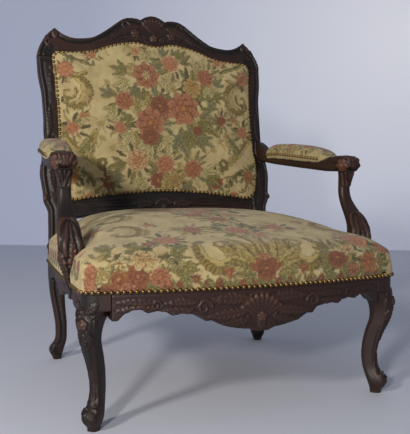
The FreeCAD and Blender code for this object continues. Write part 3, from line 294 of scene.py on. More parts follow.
def read_points(mesh):
    """Positions and normals of a mesh as arrays."""
    count = len(mesh.vertices)
    points = np.empty(count * 3, np.float32)
    normals = np.empty(count * 3, np.float32)
    mesh.vertices.foreach_get("co", points)
    mesh.vertices.foreach_get("normal", normals)
    return points.reshape(-1, 3).astype(float), normals.reshape(-1, 3).astype(float)


def write_points(mesh, points):
    """New positions for a mesh."""
    mesh.vertices.foreach_set("co", points.astype(np.float32).ravel())
    mesh.update()


def with_modifier(piece, kind, **settings):
    """Add one modifier to a piece and apply it."""
    modifier = piece.modifiers.new(kind.lower(), kind)
    for name, value in settings.items():
        setattr(modifier, name, value)
    bpy.context.view_layer.update()
    graph = bpy.context.evaluated_depsgraph_get()
    mesh = bpy.data.meshes.new_from_object(piece.evaluated_get(graph))
    old = piece.data
    piece.modifiers.clear()
    piece.data = mesh
    bpy.data.meshes.remove(old)


def new_piece(name, shape):
    """An object from a bmesh."""
    mesh = bpy.data.meshes.new(name)
    shape.to_mesh(mesh)
    shape.free()
    piece = bpy.data.objects.new(name, mesh)
    scene.collection.objects.link(piece)
    return piece


def clay_copy(name, nodes, voxel, smoothing, backing=(), core=None):
    """One even-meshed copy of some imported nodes, joined where they touch.

    backing holds matrices that set further copies of the first node behind it, so that a thin
    cover stays closed. core is the matrix of a solid middle below the shoulder of the seat.
    """
    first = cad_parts[nodes[0]].data
    shape = bmesh.new()
    for node in nodes:
        shape.from_mesh(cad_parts[node].data)
    for matrix in backing:
        before = set(shape.verts)
        shape.from_mesh(first)
        added = [vert for vert in shape.verts if vert not in before]
        bmesh.ops.transform(shape, matrix=matrix, verts=added)
    bmesh.ops.remove_doubles(shape, verts=shape.verts, dist=1e-6)
    if core is not None:
        added = [shape.verts.new(core @ vert.co) for vert in first.vertices
                 if vert.co.z < SHOULDER - CORE_DROP]
        hull = bmesh.ops.convex_hull(shape, input=added, use_existing_faces=False)
        spare = {item for item in hull["geom_interior"] + hull["geom_unused"]
                 if isinstance(item, bmesh.types.BMVert)}
        bmesh.ops.delete(shape, geom=list(spare), context="VERTS")
    piece = new_piece(name, shape)
    with_modifier(piece, "REMESH", mode="VOXEL", voxel_size=voxel, use_smooth_shade=True)
    shape = bmesh.new()
    shape.from_mesh(piece.data)
    for _ in range(smoothing):
        bmesh.ops.smooth_vert(shape, verts=shape.verts, factor=0.5, use_axis_x=True,
                              use_axis_y=True, use_axis_z=True)
    shape.to_mesh(piece.data)
    shape.free()
    for polygon in piece.data.polygons:
        polygon.use_smooth = True
    return piece


def store(mesh, name, values):
    """Keep a number for each point, for the shader."""
    attribute = mesh.attributes.new(name, "FLOAT", "POINT")
    attribute.data.foreach_set("value", values.astype(np.float32))


def smoothstep(low, high, values):
    """0 below low, 1 above high, and an even S between them."""
    share = np.clip((values - low) / (high - low), 0, 1)
    return share * share * (3 - 2 * share)


# %% [markdown]
# ## Leaves, flowers and scrolls as fields
# The carver and the weaver use the same few motifs. Each is a small function on flat points: how
# far a point lies inside the outline, and where on the leaf, petal or band it lies. The wood turns
# that into height and the cloth turns it into colour.


# %% Motif fields
SPIRAL_STEPS = 36
BAND_REACH = 20 * MM


def turned(points, spot, angle):
    """Points seen from a spot, along and across a direction in degrees."""
    away = points - np.array(spot) * MM
    along = np.array((math.cos(math.radians(angle)), math.sin(math.radians(angle))))
    return away @ along, away @ np.array((-along[1], along[0]))


def leaf_field(points, spot, angle, length, width, curl=0.0, lobes=4, notch=0.25):
    """A pointed leaf with lobed edges that starts at a spot.

    Gives the distance inside its outline, the share of its length, the share of its half width,
    a wave over its ribs, and which side of the middle vein a point lies on.
    """
    along, side = turned(points, spot, angle)
    share = along / (length * MM)
    side = side - curl * MM * share * share
    inside = np.clip(share, 0, 1)
    teeth = 1 - notch * np.abs((inside * lobes) % 1.0)
    half = 0.5 * width * MM * np.sin(math.pi * inside ** 0.75) ** 0.75 * teeth
    edge = np.where((share > 0) & (share < 1), half - np.abs(side), -1.0)
    across = np.abs(side) / np.maximum(half, 1e-6)
    ribs = np.cos(2 * math.pi * (inside * lobes * 1.5 - across * 0.8))
    return edge, inside, across, ribs, np.sign(side)


def flower_field(points, spot, radius, petals=6, spin=0.0, scallop=0.2):
    """A round flower of overlapping petals.

    Gives the distance inside its outline, the share of its radius, and two waves over the petals:
    one is high in the middle of each petal, the other low along a curved line between them.
    """
    along, side = turned(points, spot, spin)
    reach = np.hypot(along, side) / (radius * MM)
    angle = np.arctan2(side, along)
    rim = 1 - scallop * (1 - np.abs(np.cos(angle * petals / 2)))
    edge = (rim - reach) * radius * MM
    crest = np.abs(np.cos(angle * petals / 2))
    crease = np.abs(np.sin(angle * petals / 2 + reach * 2.0))
    return edge, reach / rim, crest, crease


def spiral_path(centre, start, finish, angle, sweep):
    """Points of a spiral whose radius goes from start to finish, in millimetres."""
    share = np.linspace(0, 1, SPIRAL_STEPS)
    turn = np.radians(angle + sweep * share)
    radius = start + (finish - start) * share
    return np.array(centre) + np.stack([radius * np.cos(turn), radius * np.sin(turn)], 1)


def band_field(points, path, first, last, swell=0.0):
    """A band along a path, whose half width goes from first to last.

    Gives the distance inside its outline, the share of its length, and the place across it from
    -1 to 1. Only points near the path are worked out.
    """
    path = np.array(path, float) * MM
    low = path.min(0) - BAND_REACH
    high = path.max(0) + BAND_REACH
    near = np.all((points > low) & (points < high), axis=1)
    edge = np.full(len(points), -1.0)
    share = np.zeros(len(points))
    across = np.ones(len(points))
    picked = points[near]
    best = np.full(len(picked), 9.0)
    where = np.zeros(len(picked))
    sign = np.zeros(len(picked))
    for index, (a, b) in enumerate(zip(path, path[1:])):
        step = b - a
        length = max(step @ step, 1e-12)
        t = np.clip((picked - a) @ step / length, 0, 1)
        gap = picked - a - t[:, None] * step
        far = np.hypot(gap[:, 0], gap[:, 1])
        closer = far < best
        best[closer] = far[closer]
        where[closer] = (index + t[closer]) / (len(path) - 1)
        sign[closer] = np.sign(step[0] * gap[closer, 1] - step[1] * gap[closer, 0])
    half = (first + (last - first) * where + swell * np.sin(math.pi * where)) * MM
    edge[near] = half - best
    share[near] = where
    across[near] = sign * best / np.maximum(half, 1e-6)
    return edge, share, across


# %% [markdown]
# ## Carving tools
# A carving is a list of motifs laid over a flat view of the piece. Later motifs lie over earlier
# ones, and a fine groove follows each outline, as a carver's V-tool leaves it.


# %% Carving
EDGE_FROM = -0.2 * MM
EDGE_TO = 1.4 * MM
GROOVE_HALF = 1.1 * MM
RELIEF_UNIT = 3 * MM
NOWHERE = (9, 9, 9)


class Carving:
    """Relief over flat points, in metres along the normal."""

    def __init__(self, points):
        self.points = points
        self.height = np.zeros(len(points))

    def lay(self, edge, height, groove=1.0):
        """Lay a motif over the earlier ones, with a groove along its outline."""
        share = smoothstep(EDGE_FROM, EDGE_TO, edge)
        self.height = self.height * (1 - share) + height * share
        self.height = self.height - groove * MM * np.exp(-(edge / GROOVE_HALF) ** 2)

    def leaf(self, spot, angle, length, width, rise=3.2, curl=0.0, lobes=4):
        """An acanthus leaf with a cut vein and raised ribs."""
        edge, share, across, ribs, _ = leaf_field(
            self.points, spot, angle, length, width, curl, lobes)
        round_over = np.sqrt(np.clip(1 - across ** 2, 0, 1))
        vein = np.exp(-(across / 0.16) ** 2)
        body = rise * MM * (0.35 + 0.5 * round_over + 0.22 * ribs * (across > 0.16) - 0.4 * vein)
        self.lay(edge, body * (1 - 0.3 * share))

    def flower(self, spot, radius, rise=3.6, petals=5, spin=0.0):
        """Cupped petals round a raised heart."""
        edge, reach, crest, _ = flower_field(self.points, spot, radius, petals, spin)
        cup = 0.45 + 0.4 * np.sin(math.pi * np.clip(reach, 0, 1)) + 0.25 * (crest - 0.5)
        self.lay(edge, rise * MM * cup)
        edge, reach, _, _ = flower_field(self.points, spot, radius * 0.34, 6, spin, 0.05)
        self.lay(edge, rise * MM * (0.7 + 0.5 * np.sqrt(np.clip(1 - reach ** 2, 0, 1))))

    def band(self, path, first, last, rise=2.6, swell=0.0):
        """A rounded band along a path."""
        edge, _, across = band_field(self.points, path, first, last, swell)
        self.lay(edge, rise * MM * np.sqrt(np.clip(1 - across ** 2, 0, 1)))

    def curl(self, centre, start, finish, angle, sweep, first, last, rise=2.8):
        """A spiral band that ends in a bead."""
        path = spiral_path(centre, start, finish, angle, sweep)
        self.band(path, first, last, rise)
        self.bead(path[-1], max(last * 1.4, 1.8), rise)

    def bead(self, spot, radius, rise=2.6):
        """A round knob."""
        along, side = turned(self.points, spot, 0)
        reach = np.hypot(along, side) / (radius * MM)
        self.lay((1 - reach) * radius * MM, rise * MM * np.sqrt(np.clip(1 - reach ** 2, 0, 1)), 0.6)

    def shell(self, spot, radius, angle, spread, flutes, rise=4.0):
        """A fan of flutes with a raised lip."""
        along, side = turned(self.points, spot, angle)
        reach = np.hypot(along, side) / (radius * MM)
        turn = np.arctan2(side, along) / math.radians(spread)
        rim = 1 - 0.10 * (1 - np.abs(np.cos(turn * flutes * math.pi / 2)))
        edge = np.where(np.abs(turn) < 1, (rim - reach) * radius * MM, -1.0)
        flute = np.abs(np.cos(turn * flutes * math.pi / 2))
        lip = np.exp(-((reach - 0.88) / 0.08) ** 2)
        self.lay(edge, rise * MM * (0.25 + 0.55 * flute * np.clip(reach, 0, 1) + 0.3 * lip))


def gap_to(points, chosen):
    """Distance of every point from the nearest chosen one."""
    count = int(chosen.sum())
    tree = KDTree(count + 1)
    for index, point in enumerate(points[chosen]):
        tree.insert(point, index)
    tree.insert(NOWHERE, count)
    tree.balance()
    return np.array([tree.find(point)[2] for point in points])


WALNUT_PIECES = []


def carved(node, voxel, layers, moulding=None):
    """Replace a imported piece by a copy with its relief.

    A layer holds three functions: how much each point faces the carver, its place in the flat
    view, and the motifs to lay there. The moulding lies under the motifs of the first layer.
    """
    piece = clay_copy(f"{node}_carved", [node], voxel, 1)
    points, normals = read_points(piece.data)
    height = np.zeros(len(points))
    for number, (facing, flat, carve) in enumerate(layers):
        share = smoothstep(0.25, 0.7, facing(points, normals))
        carving = Carving(flat(points))
        if moulding and number == 0:
            carving.height += moulding(points, normals)
        carve(carving)
        height += carving.height * share
    write_points(piece.data, points + normals * height[:, None])
    store(piece.data, "relief", height / RELIEF_UNIT)
    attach(piece, "root")
    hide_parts(node)
    WALNUT_PIECES.append(piece)
    print(node, len(points), "points, relief", round(float(height.max()) / MM, 1), "mm")


# %% [markdown]
# ## The back frame's view and edge
# The back leans, and its carving is drawn as seen square from the front. The left half is folded
# over the right, so each motif is drawn once. A bead and a hollow follow the outer edge.


# %% Back frame
RAKE = math.atan(0.195)
BACK_NORMAL = np.array((0.0, -math.cos(RAKE), math.sin(RAKE)))
BACK_MIDDLE = np.array((0.0, 0.0, 0.69))
FINE = 2.3 * MM
COARSE = 2.9 * MM


def faces_front(points, normals):
    """How much points face the sitter's side of the back frame."""
    return normals @ BACK_NORMAL


def front_view(points):
    """Back frame as drawn from the front, the left half folded over the right."""
    return np.stack([np.abs(points[:, 0]), points[:, 2]], 1)


def edge_moulding(points, normals):
    """A bead along the outer edge of the back frame and a hollow beside it."""
    away = points - BACK_MIDDLE
    away[:, 1] = 0
    away /= np.linalg.norm(away, axis=1)[:, None] + 1e-9
    outward = np.einsum("ij,ij->i", normals, away)
    front = normals @ BACK_NORMAL > 0.75
    gap = gap_to(points, ~front & (outward > 0.2))
    bead = 1.3 * MM * np.exp(-((gap - 5 * MM) / (2.6 * MM)) ** 2)
    hollow = -2.4 * MM * np.exp(-((gap - 12 * MM) / (4.0 * MM)) ** 2)
    return bead + hollow


# %% [markdown]
# ## Crest rail
# The middle of the crest carries a shell between two flowers, and long leaves run down the
# shoulders to the plain channels before the ears. The ears end in a small curl.


# %% Crest rail
def carve_crest(work):
    """Shell, flowers and leaves over one half of the crest."""
    work.leaf((18, 948), 8, 80, 24, 3.2, -10, 5)
    work.leaf((44, 985), -18, 92, 26, 3.4, -6, 6)
    work.leaf((98, 968), -38, 76, 20, 3.0, 12, 5)
    work.leaf((128, 950), -30, 78, 16, 2.6, 10, 5)
    work.leaf((70, 940), -8, 70, 15, 2.6, -8, 5)
    work.curl((88, 986), 15, 4, 200, -330, 3.4, 1.8)
    work.flower((58, 962), 15, 4.0, 5, 20)
    work.shell((0, 962), 52, 90, 48, 7, 4.2)
    work.band([(0, 930), (18, 934), (34, 944), (42, 960)], 3.2, 2.0)
    work.flower((0, 950), 14, 5.0, 5, 90)
    work.leaf((300, 930), 75, 34, 22, 3.4, 5, 4)
    work.leaf((318, 926), 20, 34, 20, 3.2, -8, 4)
    work.curl((322, 915), 10, 3, 60, -300, 3.0, 1.6)


carved("crest_rail", FINE, [(faces_front, front_view, carve_crest)], edge_moulding)


# %% [markdown]
# ## Lower back rail
# Long reeds follow the rail's curve and meet at a small shell in the middle.


# %% Lower back rail
def lower_rail_line(x):
    """Middle height of the lower back rail's visible face."""
    return 446 - 9 * (x / 290) ** 2


def carve_lower_rail(work):
    """Reeds along the rail, a leaf over their inner ends and the shell."""
    for offset in (-14, -5, 4, 13):
        path = [(x, lower_rail_line(x) + offset) for x in range(58, 300, 24)]
        work.band(path, 3.6, 3.0, 2.0)
    work.leaf((30, 444), 2, 70, 30, 3.2, -3, 5)
    work.shell((0, 428), 34, 90, 60, 7, 3.8)
    work.flower((0, 434), 9, 4.0, 5)


carved("lower_back_rail", COARSE, [(faces_front, front_view, carve_lower_rail)])


# %% [markdown]
# ## Rear posts
# The uprights have the same edge moulding as the crest. A leaf grows up from the arm's joint and a
# small knob stands on the outer edge below it.


# %% Rear posts
def carve_post(work):
    """Leaves on the front face of a post."""
    work.leaf((330, 640), 92, 96, 18, 2.4, 0, 6)
    work.leaf((334, 566), 96, 78, 26, 2.8, 4, 5)
    work.leaf((330, 552), -92, 80, 24, 2.6, -3, 5)
    work.curl((340, 468), 10, 3, 90, -280, 3.0, 1.8)
    work.flower((318, 842), 8, 2.6, 5)
    work.leaf((322, 826), -92, 70, 14, 2.2, 0, 5)


def faces_side(points, normals):
    """How much points face sideways out of the chair."""
    return normals[:, 0] * np.sign(points[:, 0])


def side_view(points):
    """Chair seen from the side: depth and height."""
    return np.stack([points[:, 1], points[:, 2]], 1)


def carve_post_side(work):
    """Leaves and two knobs on the outer face of a post."""
    work.leaf((318, 560), -92, 110, 20, 2.6, 0, 6)
    work.leaf((322, 600), 84, 90, 18, 2.6, 0, 6)
    for depth, height in ((262, 462), (264, 326)):
        work.bead((depth, height), 9, 6.5)
        work.curl((depth + 14, height - 4), 8, 3, 90, 300, 2.6, 1.6, 3.0)


for side in ("right", "left"):
    carved(f"{side}_rear_post", COARSE, [(faces_front, front_view, carve_post),
                                         (faces_side, side_view, carve_post_side)], edge_moulding)


# %% [markdown]
# ## Front rail
# The bowed front rail is carved all over: a shell in the middle over a small pendant, scrolls and
# acanthus leaves to both sides, and leaf tips that break its lower edge.


# %% Front rail
def faces_viewer(points, normals):
    """How much points face the front of the chair."""
    return -normals[:, 1]


def carve_front_rail(work):
    """Leaves and scrolls outward from the middle, then the shell and its frame."""
    work.band([(14, 204), (52, 211), (98, 224), (126, 232), (160, 247), (200, 247)], 2.2, 1.8, 2.0)
    work.leaf((24, 262), 8, 98, 30, 3.4, -14, 6)
    work.leaf((30, 240), -12, 96, 28, 3.4, 10, 6)
    work.leaf((26, 222), -16, 70, 20, 3.0, 10, 5)
    work.curl((128, 250), 17, 4, 180, -400, 3.6, 2.0, 3.2)
    work.leaf((140, 262), 4, 80, 20, 3.0, -8, 6)
    work.leaf((150, 248), -10, 74, 20, 3.2, 12, 5)
    work.curl((228, 258), 12, 3, 190, -380, 3.0, 1.8, 3.0)
    work.leaf((236, 264), 6, 76, 18, 2.8, -6, 5)
    work.leaf((240, 256), -12, 72, 18, 3.0, 10, 5)
    work.flower((96, 262), 9, 3.2, 5)
    work.flower((196, 262), 7, 3.0, 5)
    work.shell((0, 216), 58, 90, 62, 9, 4.4)
    work.band([(0, 276), (24, 272), (38, 258), (40, 240), (30, 224)], 3.0, 2.2, 3.0)
    work.leaf((0, 222), -90, 28, 26, 3.4, 0, 4)
    work.flower((0, 224), 12, 5.0, 5, 90)


RAIL_BEAD_HEIGHT = 0.2785


def rail_bead(points, normals):
    """A fine bead under the cover's nails."""
    return 1.5 * MM * np.exp(-((points[:, 2] - RAIL_BEAD_HEIGHT) / (2.2 * MM)) ** 2)


carved("front_seat_rail", FINE, [(faces_viewer, front_view, carve_front_rail)], rail_bead)


# %% [markdown]
# ## Front legs
# Each leg swells to a knee with a carved cartouche, thins to the ankle and ends in a scroll. The
# carving lies on the two outer faces, so the flat view runs round the leg.


# %% Front legs
LEG_CENTRE = np.array((345.0, -320.5)) * MM
DIAGONAL = np.array((1.0, -1.0)) / math.sqrt(2)
LEG_WRAP = 0.25


def leg_outward(points, normals):
    """How much points face away from the chair, along the leg's diagonal."""
    sign = np.sign(points[:, 0])
    return normals[:, 0] * sign * DIAGONAL[0] + normals[:, 1] * DIAGONAL[1] + LEG_WRAP


def leg_view(points):
    """Leg seen along its diagonal: distance sideways and height."""
    x = np.abs(points[:, 0]) - LEG_CENTRE[0]
    y = points[:, 1] - LEG_CENTRE[1]
    return np.stack([y * DIAGONAL[0] - x * DIAGONAL[1], points[:, 2]], 1)


def carve_leg(work):
    """Knee cartouche, edge bands down the shin and the scrolled foot."""
    for sign in (1, -1):
        work.band([(sign * 22, 232), (sign * 19, 200), (sign * 13, 160), (sign * 10, 120),
                   (sign * 9, 80), (sign * 12, 56)], 2.6, 1.8, 1.8)
        work.leaf((sign * 4, 246), 90 - sign * 62, 34, 20, 3.2, sign * 6, 4)
        work.leaf((sign * 6, 212), -90 + sign * 22, 44, 16, 3.0, -sign * 4, 5)
        work.curl((sign * 14, 242), 9, 3, 90, -sign * 320, 2.6, 1.6)
        work.curl((sign * 9, 40), 8, 2.5, 90 + sign * 20, -sign * 330, 2.6, 1.6, 3.0)
    work.leaf((0, 206), -90, 84, 17, 2.8, 0, 6)
    work.flower((0, 224), 13, 4.2, 5, 90)
    work.leaf((0, 54), 90, 44, 15, 2.4, 0, 4)


for side in ("right", "left"):
    carved(f"{side}_front_leg", FINE, [(leg_outward, leg_view, carve_leg)])


# %% [markdown]
# ## Side rails
# A bead follows the lower edge, and a long leaf runs back from the arm support's foot.


# %% Side rails
def carve_side_rail(work):
    """Leaves to both sides of a flower, over the wavy lower bead."""
    work.leaf((-170, 262), 0, 120, 22, 2.8, 4, 6)
    work.leaf((-225, 262), 180, 70, 22, 2.8, -4, 5)
    work.leaf((235, 262), 180, 100, 18, 2.4, 3, 6)
    work.flower((-198, 264), 11, 3.6, 5)
    work.band([(y, 250 + 4 * math.cos(y / 28)) for y in range(-280, 246, 20)], 2.4, 2.4, 1.6)


for side in ("right", "left"):
    carved(f"{side}_seat_rail", COARSE, [(faces_side, side_view, carve_side_rail)])


# %% [markdown]
# ## Arms
# The arm's front end rolls over into a knuckle. A rosette lies on either side of it, and leaves
# wrap its front. The support below is fluted, narrow at the waist, and spreads into a fan of
# acanthus at the rail.


# %% Arms
KNUCKLE_BACK = -0.12


def arm_facing(points, normals):
    """How much points lie on either side face of an arm."""
    return np.abs(normals[:, 0]) + 0.1


def carve_arm(work):
    """Rosette and curl of the rolled end, and leaves along the side."""
    work.flower((-158, 550), 19, 7.0, 6)
    work.leaf((-138, 548), -8, 66, 24, 3.6, 6, 5)
    work.leaf((-142, 560), 20, 54, 18, 3.2, -6, 4)
    work.curl((-158, 550), 23, 20, 200, -230, 2.4, 2.2, 3.0)
    work.band([(-110, 536), (-20, 545), (90, 556), (190, 566)], 2.6, 2.6, 1.8)
    work.leaf((232, 584), 170, 60, 22, 3.0, -4, 4)


def carve_knuckle(work):
    """Leaves over the front of the rolled end."""
    work.leaf((371, 546), 90, 44, 22, 5.0, 0, 4)
    work.leaf((363, 542), 112, 40, 18, 4.4, -4, 4)
    work.leaf((379, 542), 68, 40, 18, 4.4, 4, 4)
    work.leaf((371, 556), -90, 34, 20, 4.6, 0, 4)


def knuckle_facing(points, normals):
    """How much points face forward at the rolled end of an arm."""
    return np.where(points[:, 1] < KNUCKLE_BACK, -normals[:, 1] + 0.3 * normals[:, 2], 0.0)


for side in ("right", "left"):
    carved(f"{side}_armrest", FINE, [(arm_facing, side_view, carve_arm),
                                     (knuckle_facing, front_view, carve_knuckle)])


# %% [markdown]
# ## Arm supports
# The flat view of a support runs round its bent axis, as if the wood were unrolled: the angle from
# the front times the radius, against the height.


# %% Arm supports
SUPPORT_X = 0.366
SUPPORT_FOOT = 0.312
SUPPORT_SPREAD = 0.004 / 0.224
SUPPORT_RADIUS = 0.019
BEND_HEIGHTS = (0.26, 0.34, 0.39, 0.46, 0.5, 0.54)
BEND_DEPTHS = (-0.202, -0.216, -0.212, -0.168, -0.148, -0.150)


def support_facing(points, normals):
    """How much points face the front or either side of the chair."""
    return np.maximum(np.abs(normals[:, 0]), -normals[:, 1]) + 0.15


def support_view(points):
    """Support unrolled about its upright axis: angle as a distance, and height."""
    height = points[:, 2]
    axis_x = SUPPORT_X + SUPPORT_SPREAD * (height - SUPPORT_FOOT)
    axis_y = np.interp(height, BEND_HEIGHTS, BEND_DEPTHS)
    angle = np.arctan2(np.abs(points[:, 0]) - axis_x, axis_y - points[:, 1])
    return np.stack([angle * SUPPORT_RADIUS, height], 1)


def carve_support(work):
    """Flutes, the fan of leaves at the foot, and a beaded collar at the waist."""
    for offset in (-28, -14, 0, 14, 28):
        work.band([(offset, 528), (offset * 0.9, 470), (offset, 350)], 5.4, 5.0, 3.2)
    for spread, rise in ((34, 5.0), (17, 6.0), (0, 7.0)):
        for sign in (1, -1):
            work.leaf((sign * spread, 286), 90 - sign * spread * 0.5, 104 - spread, 26, rise, 0, 6)
    for offset in (-40, -20, 0, 20, 40):
        work.leaf((offset, 340), -90, 62, 20, 4.2, 0, 5)
    work.band([(-52, 338), (0, 334), (52, 338)], 3.6, 3.6, 4.5)
    for offset in (-36, -18, 0, 18, 36):
        work.bead((offset, 336), 5, 6.0)


for side in ("right", "left"):
    carved(f"{side}_arm_support", FINE, [(support_facing, support_view, carve_support)])


# %% [markdown]
# ## Walnut
# Old polished walnut is almost black, with painted shade in the hollows, and warm brown where hands
# have worn it. Long stretched noise makes the figure, fine noise makes the pores, and the relief
# stored with each carved point paints shade into hollows and lightens ridges, both as wear and as a
# painted highlight.


# %% Walnut finish
WALNUT_DARK = tint(15, 9, 7)
WALNUT_WARM = tint(52, 27, 18)
WALNUT_WORN_AND_HIGHLIT = tint(86, 54, 38)
WALNUT_HOLLOW_PAINTED_SHADE = tint(9, 6, 5)
OLD_DUST = tint(70, 58, 48)


def walnut_finish(name, stretch):
    """Polished walnut with its grain along one axis."""
    finish = Finish(name)
    place = finish.place(stretch)
    figure = finish.noise(place, 9.0, 4.0, 0.55)
    pores = finish.noise(place, 110.0, 2.0, 0.6)
    patch = finish.noise(finish.place(), 14.0, 3.0, 0.6)
    relief = finish.attribute("relief")
    grain = finish.node("ShaderNodeValToRGB", {"stops": [(0.34, (0, 0, 0, 1)), (0.68, (1, 1, 1, 1))]},
                        {"Fac": figure})
    base = finish.mix(grain, solid(WALNUT_DARK), solid(WALNUT_WARM))
    # raised ridges lighten, partly as wear and partly as a painted highlight
    ridge_wear_and_highlight = finish.clamped(relief - 0.55, 0.7)
    ridged = finish.mix(ridge_wear_and_highlight, base, solid(WALNUT_WORN_AND_HIGHLIT))
    # painted shade: the deeper a carved point lies, the nearer its colour goes to near black
    deep = finish.clamped(relief, -2.6)
    shaded = finish.mix(deep, ridged, solid(WALNUT_HOLLOW_PAINTED_SHADE))
    dusty = finish.mix(patch * 0.10, shaded, solid(OLD_DUST))
    normal = finish.bump(pores, 0.18, 0.0006)
    normal = finish.bump(patch, 0.15, 0.002, normal)
    return finish.set(Base_Color=dusty, Roughness=patch * 0.25 + 0.36, Normal=normal,
                      Coat_Weight=0.06, Coat_Roughness=0.3, Specular_IOR_Level=0.35)


ALONG = 0.12
walnut_across = walnut_finish("walnut_grain_across", (ALONG, 1, 1))
walnut_upright = walnut_finish("walnut_grain_upright", (1, 1, ALONG))
walnut_deep = walnut_finish("walnut_grain_deep", (1, ALONG, 1))
for piece in WALNUT_PIECES:
    if any(word in piece.name for word in ("crest", "front_seat", "lower_back")):
        grain_way = walnut_across
    elif any(word in piece.name for word in ("arm_support", "leg", "post")):
        grain_way = walnut_upright
    else:
        grain_way = walnut_deep
    piece.data.materials.append(grain_way)

# %% [markdown]
# ## The weaver's palette
# The threads are faded: straw and sand for the ground and the scrolls, brick and terracotta for
# the roses, olive and moss for the leaves. Most motifs take three or four threads together, so
# those groups have names too: the main tone first, then the darker ones, and the light last.

# %% Palette
GROUND = tint(196, 176, 126)
SHADE = tint(156, 136, 90)
CREAM = tint(206, 188, 138)
STRAW = tint(180, 160, 98)
RUST = tint(120, 60, 40)
BRICK = tint(80, 36, 26)
TERRA = tint(146, 82, 54)
ROSE = tint(178, 122, 90)
PLUM = tint(96, 52, 46)
AMBER = tint(166, 108, 52)
GOLD = tint(138, 116, 58)
OLIVE = tint(98, 90, 44)
SAGE = tint(150, 140, 84)
MOSS = tint(50, 48, 28)
SLATE = tint(94, 94, 70)
BROWN = tint(72, 54, 32)

GILT = (GOLD, BROWN, STRAW)
GREEN = (OLIVE, MOSS, SAGE)
PALE_GREEN = (SAGE, MOSS, CREAM)
RED_ROSE = (TERRA, RUST, BRICK, ROSE)
DARK_ROSE = (RUST, BRICK, BRICK, TERRA)
PALE_ROSE = (ROSE, TERRA, RUST, ROSE)
AMBER_ROSE = (AMBER, TERRA, RUST, CREAM)
STRAW_ROSE = (AMBER, GOLD, BROWN, STRAW)

# %% [markdown]
# ## The weaver's tools
# The cover is a mechanical tapestry of a traditional kind, with bouquets of roses between scrolls.
# Its pattern is laid motif by motif on the flat cloth, as a designer draws it, and each point of
# the cushion looks up its colour there. The mesh is about as fine as the stitches. Soft random
# waves shift every outline by a millimetre or so, as a loom does.


# %% Weaver
def ripple(points, wavelength, seed):
    """Soft random waves over flat points, about -1 to 1."""
    turns = np.random.default_rng(seed).uniform(0, 2 * math.pi, (5, 2))
    total = np.zeros(len(points))
    for direction, phase in turns:
        along = points @ np.array((math.cos(direction), math.sin(direction)))
        total += np.sin(along * 2 * math.pi / (wavelength * MM) + phase)
    return total / 2.6


